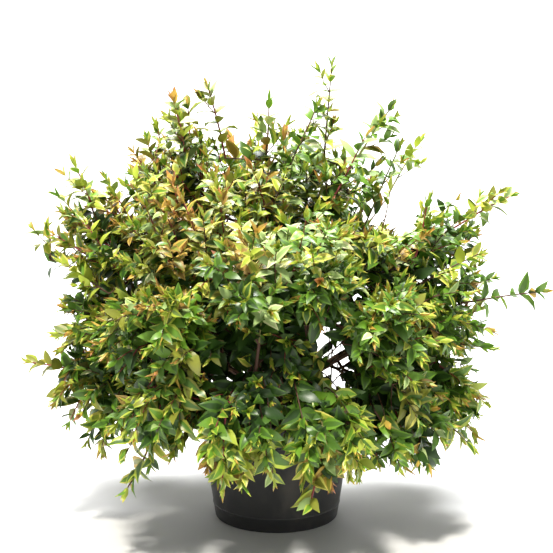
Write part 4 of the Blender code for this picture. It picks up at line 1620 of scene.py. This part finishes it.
class ABELIA_OT_pot(bpy.types.Operator):
    """Turn the nursery pot and cut its drain holes"""

    bl_idname = "abelia.pot"
    bl_label = "Pot"

    def execute(self, context):
        mesh = drained(turned("pot_blank", pot_profile(), TURNED_SIDES, 0.0, FLOOR))
        mesh.name = "pot_shell"
        mesh.materials.clear()
        mesh.materials.append(pot_material())
        mesh.shade_smooth()
        mesh.set_sharp_from_angle(angle=SMOOTH_UNDER)
        finish_piece("pot_shell", mesh, "pot_plastic", "pot")
        return {"FINISHED"}


MIX_LEVEL = 0.150
MIX_TOP_BAND = 0.005
MIX_FOOT_BAND = 0.001
MIX_EDGE = 0.003
MIX_REACHES = (0.995, 0.02)
MIX_RINGS = 44
MIX_SIDES = 128
MIX_LUMP = 0.0032
MIX_LUMP_SIZE = 0.014
COARSE_SLICE = 0.3
FINE_SLICE = 2.7
BARE_ROUND_STEM = (0.030, 0.055)
CRUMB_FORMS = 5
CRUMB_STRETCH = ((0.6, 1.3), (0.4, 0.8), (0.25, 0.5))
CRUMB_UNEVEN = (0.75, 1.2)
CRUMB_RINGS = 16
CRUMB_RING_SIDES = 64
CRUMB_REACH = (0.034, 0.004)


def mix_height(x, y):
    """The height of the potting mix at a place, level under the stem."""
    away = ease(math.hypot(x, y), *BARE_ROUND_STEM)
    coarse = noise.noise(Vector((x, y, COARSE_SLICE)) / MIX_LUMP_SIZE)
    fine = noise.noise(Vector((x, y, FINE_SLICE)) / (MIX_LUMP_SIZE * 0.3))
    return MIX_LEVEL + away * (MIX_LUMP * 0.7 * coarse + MIX_LUMP * 0.3 * fine)


def hull_faces(corners):
    """The twenty faces of a regular solid with edges of length 2, each facing out."""
    faces = []
    for trio in itertools.combinations(range(len(corners)), 3):
        a, b, c = (Vector(corners[index]) for index in trio)
        if all(abs((one - other).length - 2.0) < 1e-3 for one, other in ((a, b), (b, c), (c, a))):
            outward = (b - a).cross(c - a).dot(a) > 0
            faces.append(trio if outward else (trio[0], trio[2], trio[1]))
    return faces


def crumb_forms():
    """A few uneven crumbs, each of twenty faces."""
    rng = random.Random(settings().growth.seed + 5)
    golden = (1 + math.sqrt(5)) / 2
    signs = [(a, b * golden) for a in (-1, 1) for b in (-1, 1)]
    corners = [(0, a, b) for a, b in signs] + [(a, b, 0) for a, b in signs] + [(b, 0, a) for a, b in signs]
    meshes = []
    for number in range(CRUMB_FORMS):
        stretch = Vector([rng.uniform(low, high) for low, high in CRUMB_STRETCH]) / golden / 2
        verts = []
        for corner in corners:
            uneven = rng.uniform(*CRUMB_UNEVEN)
            verts.append([place * wide * uneven for place, wide in zip(corner, stretch)])
        meshes.append(new_mesh(f"crumb_form_{number}", verts, hull_faces(corners)))
    return collected("crumb_forms", meshes)


def strewn(radius):
    """Crumbs on the mix, clear of the stem."""
    verts = []
    inner, clear = CRUMB_REACH
    for step in range(CRUMB_RINGS):
        reach = blend(inner, radius - clear, step / (CRUMB_RINGS - 1))
        verts += [(x, y, mix_height(x, y)) for x, y in ring(reach, CRUMB_RING_SIDES)]
    faces = [(a, d, c, b) for a, b, c, d in ring_faces(0, CRUMB_RINGS, CRUMB_RING_SIDES, capped=False)]
    ground = new_mesh("crumb_ground", verts, faces)
    forms = crumb_forms()
    tree = crumb_tree([mix_material("potting_mix_crumbs", 1.6)])
    values = {"Crumb Forms": forms, "Crumb Size": settings().pot.crumb_size, "Seed": CRUMB_SEED}
    mesh = run_tree(tree, ground, values, "potting_mix_crumbs")
    drop_collection(forms)
    return mesh


class ABELIA_OT_potting_mix(bpy.types.Operator):
    """Fill the pot with potting mix and strew crumbs over it"""

    bl_idname = "abelia.potting_mix"
    bl_label = "Potting mix"

    def execute(self, context):
        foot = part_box("potting_mix")[0].z
        radius = widest("potting_mix", above=MIX_LEVEL - MIX_TOP_BAND)
        base = widest("potting_mix", below=foot + MIX_FOOT_BAND)
        profile = [(base, foot), (radius, MIX_LEVEL - MIX_EDGE)]
        for step in range(MIX_RINGS):
            profile.append((radius * blend(*MIX_REACHES, step / (MIX_RINGS - 1)), MIX_LEVEL))
        mesh = turned("potting_mix_fill", profile, MIX_SIDES, foot, MIX_LEVEL)
        for vert in mesh.vertices:
            if vert.co.z > MIX_LEVEL - MIX_EDGE / 2:
                vert.co.z = mix_height(vert.co.x, vert.co.y)
        mesh.materials.append(mix_material("potting_mix_damp", 1.0))
        mesh.shade_smooth()
        finish_piece("potting_mix_fill", mesh, "potting_mix", "potting_mix")
        finish_piece("potting_mix_crumbs", strewn(radius), "potting_mix")
        return {"FINISHED"}


# Bark

RING_STEP = 0.004
BOUGH_SIDES = 16
ROOT_RUN = 0.012
ROOT_SWELL = 1.15
FULL_RELIEF_RADIUS = 0.004
SALT_STEP = 3.7
STEM_SIDES = 72
STEM_RINGS = 56
STEM_MAP_WIDTH = 0.11
STEM_RELIEF = 1.6
STEM_SALT = 4.2
SAME_LEVEL = 0.0003
SMOOTH_FOOT = 0.003
LEAST_RING = 8
LEAST_RINGS = 4
FLAKE_WIDTH = 0.0035
STREAK_LENGTH = 0.030
FLAKE_LENGTH = 0.011
CAP_MAP = ((0.0, 0.0), (0.002, 0.0), (0.002, 0.002))


def turned_frames(points):
    """At each point of a path, two directions across it that don't twist along the way."""
    frames = []
    side = None
    for before, after in zip(points[:1] + points[:-1], points[1:] + points[-1:]):
        along = (after - before).normalized()
        if side is None:
            side = along.orthogonal().normalized()
        side = (side - along * side.dot(along)).normalized()
        frames.append((side, along.cross(side)))
    return frames


def bark_relief(turn, run, radius, salt):
    """The height of flaking bark at a turn and a run of a limb, from -1 to 1."""
    circle = Vector((math.cos(turn), math.sin(turn), 0.0)) * (radius / FLAKE_WIDTH)
    streaks = noise.noise(circle + Vector((salt, 0.0, run / STREAK_LENGTH)))
    flakes = noise.noise(circle * 2.1 + Vector((0.0, salt, run / FLAKE_LENGTH)))
    return 0.6 * (1 - 2.4 * abs(streaks)) + 0.4 * flakes


def tube_map(widths, runs, sides):
    """Map corners for the faces of a tube: round it across, along it up, and its caps."""
    corners = []
    for width, low, high in zip(widths, runs, runs[1:]):
        for step in range(sides):
            left = step / sides * width
            right = (step + 1) / sides * width
            corners += ((left, low), (right, low), (right, high), (left, high))
    return corners + list(CAP_MAP) * 2 * sides


def bark_mesh(name, verts, faces, corners):
    """A mesh with the bark's finish and its map."""
    mesh = new_mesh(name, verts, faces)
    layer = mesh.uv_layers.new(name=BARK_UV)
    layer.data.foreach_set("uv", [value for corner in corners for value in corner])
    mesh.materials.append(bark_material())
    mesh.shade_smooth()
    return mesh


def bough_mesh():
    """Every bough as a closed tube with the bark's relief, its foot run back into what bears it."""
    verts = []
    faces = []
    corners = []
    for number, name in enumerate(nodes_named("bough_")):
        points, _ = spine_of(name, FORK, BOUGH_POINTS)
        rings = max(LEAST_RINGS, round(runs_along(points)[-1] / RING_STEP))
        points, radii = spine_of(name, FORK, rings)
        points.insert(0, points[0] + (points[0] - points[1]).normalized() * ROOT_RUN)
        radii.insert(0, radii[0] * ROOT_SWELL)
        faces += ring_faces(len(verts), len(points), BOUGH_SIDES)
        runs = runs_along(points)
        corners += tube_map([math.tau * radius for radius in radii], runs, BOUGH_SIDES)
        for point, radius, run, (side, other) in zip(points, radii, runs, turned_frames(points)):
            relief = settings().bark.relief
            for step in range(BOUGH_SIDES):
                turn = math.tau * step / BOUGH_SIDES
                lift = relief * bark_relief(turn, run, radius, number * SALT_STEP)
                lift *= min(1.0, radius / FULL_RELIEF_RADIUS)
                verts.append(tuple(point + spoke_at(side, other, turn) * (radius + lift)))
        verts += [tuple(points[0]), tuple(points[-1])]
    return bark_mesh("bough_bark", verts, faces, corners)


def stem_mesh():
    """The short stem, with its root flare and knuckled head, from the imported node's own radii."""
    places = corners_of("stem")
    low = float(places[:, 2].min())
    high = float(places[:, 2].max())
    rings = []
    for level in sorted({round(float(z), 4) for z in places[:, 2]}):
        around = places[np.abs(places[:, 2] - level) < SAME_LEVEL]
        if len(around) >= LEAST_RING:
            middle = around.mean(axis=0)
            x, y, _ = (around - middle).T
            rings.append((level, middle, np.arctan2(y, x), np.hypot(x, y)))
    heights = [level for level, _, _, _ in rings]
    runs = [blend(heights[0], heights[-1], index / (STEM_RINGS - 1)) for index in range(STEM_RINGS)]
    verts = []
    for level in runs:
        above = min(len(rings) - 1, max(1, bisect.bisect_left(heights, level)))
        pair = rings[above - 1 : above + 1]
        up = (level - heights[above - 1]) / (heights[above] - heights[above - 1])
        middle = blend(pair[0][1], pair[1][1], up)
        for step in range(STEM_SIDES):
            turn = math.tau * step / STEM_SIDES - math.pi
            reaches = [float(np.interp(turn, turns, reach, period=math.tau)) for _, _, turns, reach in pair]
            reach = blend(*reaches, up)
            lift = settings().bark.relief * STEM_RELIEF * bark_relief(turn, level, reach, STEM_SALT)
            reach += lift * ease(level, low, low + SMOOTH_FOOT)
            verts.append((middle[0] + reach * math.cos(turn), middle[1] + reach * math.sin(turn), level))
    verts += [(0.0, 0.0, low), (*rings[-1][1][:2], high)]
    corners = tube_map([STEM_MAP_WIDTH] * STEM_RINGS, runs, STEM_SIDES)
    return bark_mesh("stem_bark", verts, ring_faces(0, STEM_RINGS, STEM_SIDES), corners)


class ABELIA_OT_bark(bpy.types.Operator):
    """Put bark with its relief on the stem and the boughs"""

    bl_idname = "abelia.bark"
    bl_label = "Bark"

    def execute(self, context):
        finish_piece("stem_bark", stem_mesh(), "bark", "stem")
        finish_piece("bough_bark", bough_mesh(), "bark", *nodes_named("bough_"))
        return {"FINISHED"}


# Twigs and leaves


class ABELIA_OT_twigs(bpy.types.Operator):
    """Grow the limbs, shoots and twigs on from the boughs"""

    bl_idname = "abelia.twigs"
    bl_label = "Limbs and twigs"

    def execute(self, context):
        tree = tube_tree(twig_materials())
        halves = {"twigs_left": [], "twigs_right": []}
        for tube in dressed()[1]:
            halves["twigs_left" if tube[0][-1].x < 0 else "twigs_right"].append(tube)
        for name, tubes in halves.items():
            mesh = run_tree(tree, line_mesh(tubes, name), {"Sides": TWIG_SIDES}, name)
            mesh.shade_smooth()
            finish_piece(name, mesh, "bark")
        return {"FINISHED"}


def masses_in(region):
    """The masses of foliage that a piece of leaves stands for."""
    masses = {name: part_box(name) for name in nodes_named("foliage_")}
    return [name for name, (low, high) in masses.items() if region_of((low + high) / 2) == region]


class ABELIA_OT_leaves(bpy.types.Operator):
    """Hang the grown leaves on the shoots"""

    bl_idname = "abelia.leaves"
    bl_label = "Leaves"

    def execute(self, context):
        tree = spray_tree(leaf_materials())
        forms = leaf_forms()
        for region in ("top_left", "top_right", "left", "front", "right", "back", "shade", "young"):
            name = "leaves_" + region
            mesh = run_tree(tree, point_mesh(dressed()[0][region], name), {"Leaf Forms": forms}, name)
            if region == "young":
                finish_piece(name, mesh, "young_leaves", *nodes_named("shoot_"))
            else:
                finish_piece(name, mesh, "leaves", *masses_in(region))
        drop_collection(forms)
        return {"FINISHED"}


# Stage

FLOOR_REACH = 9.0
BACKDROP_AWAY = 2.6
BACKDROP_ROUND = 1.2
BACKDROP_HEIGHT = 5.0
BACKDROP_STEPS = 24
FLOOR_ROUGHNESS = 0.95
FLOOR_GLOSS = 0.1

# Each soft light: where it stands, where it aims, how wide it is, the setting of its power, and its tint
LIGHTS = {
    "key_light": ((-0.5, -1.5, 3.6), (0.0, 0.0, 0.3), 0.45, "key_power", (1.0, 0.96, 0.87)),
    "fill_light": ((1.8, -2.4, 1.1), (0.0, 0.0, 0.3), 1.8, "fill_power", (1.0, 1.0, 1.0)),
    "top_light": ((0.4, 0.9, 2.6), (0.0, 0.0, 0.5), 0.6, "top_power", (1.0, 1.0, 1.0)),
    "backdrop_light": ((0.0, 1.4, 3.2), (0.0, 3.6, 0.9), 2.0, "back_power", (1.0, 1.0, 1.0)),
}


def floor_mesh():
    """A floor that runs up into a backdrop behind the plant in one smooth sweep."""
    section = [(-FLOOR_REACH, 0.0)]
    section += arc((BACKDROP_AWAY, BACKDROP_ROUND), BACKDROP_ROUND, -90, 0, BACKDROP_STEPS)
    section.append((BACKDROP_AWAY + BACKDROP_ROUND, BACKDROP_HEIGHT))
    verts = [(side * FLOOR_REACH, y, z) for y, z in section for side in (-1, 1)]
    faces = [(row, row + 1, row + 3, row + 2) for row in range(0, len(verts) - 2, 2)]
    mesh = new_mesh("floor", verts, faces)
    pale = plain_material("floor_pale", settings().stage.floor, FLOOR_ROUGHNESS, FLOOR_GLOSS)
    mesh.materials.append(pale)
    mesh.shade_smooth()
    return mesh


def aimed(name, data, place, aim):
    """Put a light or the camera in the scene, looking at a point."""
    item = put_in_scene(name, data)
    item.location = place
    item.rotation_euler = (Vector(aim) - Vector(place)).to_track_quat("-Z", "Y").to_euler()
    return item


class ABELIA_OT_stage(bpy.types.Operator):
    """Set the floor, the light and the camera"""

    bl_idname = "abelia.stage"
    bl_label = "Stage"

    def execute(self, context):
        look = settings().stage
        scene = context.scene
        put_in_scene("floor", floor_mesh())
        scene.world = bpy.data.worlds.new("surround")
        scene.world.use_nodes = True
        background = scene.world.node_tree.nodes["Background"]
        background.inputs["Color"].default_value = (*look.sky, 1.0)
        background.inputs["Strength"].default_value = look.sky_strength
        for name, (place, aim, size, power_name, tint) in LIGHTS.items():
            light = bpy.data.lights.new(name, "AREA")
            light.size = size
            light.energy = getattr(look, power_name)
            light.color = tint
            aimed(name, light, place, aim)
        camera = bpy.data.cameras.new("camera")
        camera.sensor_width = SENSOR
        camera.lens = SENSOR * VIEW_DISTANCE / FRAME_WIDTH
        scene.camera = aimed("camera", camera, VIEW_POINT, VIEW_TARGET)
        scene.view_settings.view_transform = "Standard"
        return {"FINISHED"}


BUILD_ORDER = (
    ABELIA_OT_pot,
    ABELIA_OT_potting_mix,
    ABELIA_OT_bark,
    ABELIA_OT_twigs,
    ABELIA_OT_leaves,
    ABELIA_OT_stage,
)


class ABELIA_PT_panel(bpy.types.Panel):
    """The steps and settings of the plant."""

    bl_label = "Potted abelia"
    bl_idname = "ABELIA_PT_panel"
    bl_space_type = "VIEW_3D"
    bl_region_type = "UI"
    bl_category = "Abelia"

    def draw(self, context):
        for step in BUILD_ORDER:
            self.layout.operator(step.bl_idname)
        for name in ABELIA_PG_settings.__annotations__:
            group = getattr(settings(), name)
            box = self.layout.box()
            box.label(text=title_of(name))
            for field in group.__annotations__:
                box.prop(group, field)


CLASSES = (
    ABELIA_PG_leaf_tones,
    ABELIA_PG_wood_tones,
    ABELIA_PG_growth,
    ABELIA_PG_pot,
    ABELIA_PG_bark,
    ABELIA_PG_stage,
    ABELIA_PG_settings,
    *BUILD_ORDER,
    ABELIA_PT_panel,
)


def register():
    """Make the settings, steps and panel known."""
    for item in CLASSES:
        bpy.utils.register_class(item)
    bpy.types.Scene.abelia = PointerProperty(type=ABELIA_PG_settings)


def unregister():
    """Forget the settings, steps and panel."""
    del bpy.types.Scene.abelia
    for item in reversed(CLASSES):
        bpy.utils.unregister_class(item)


def main():
    """Build everything in order."""
    register()
    for step in BUILD_ORDER:
        group, name = step.bl_idname.split(".")
        getattr(getattr(bpy.ops, group), name)()


if __name__ == "__main__":
    main()
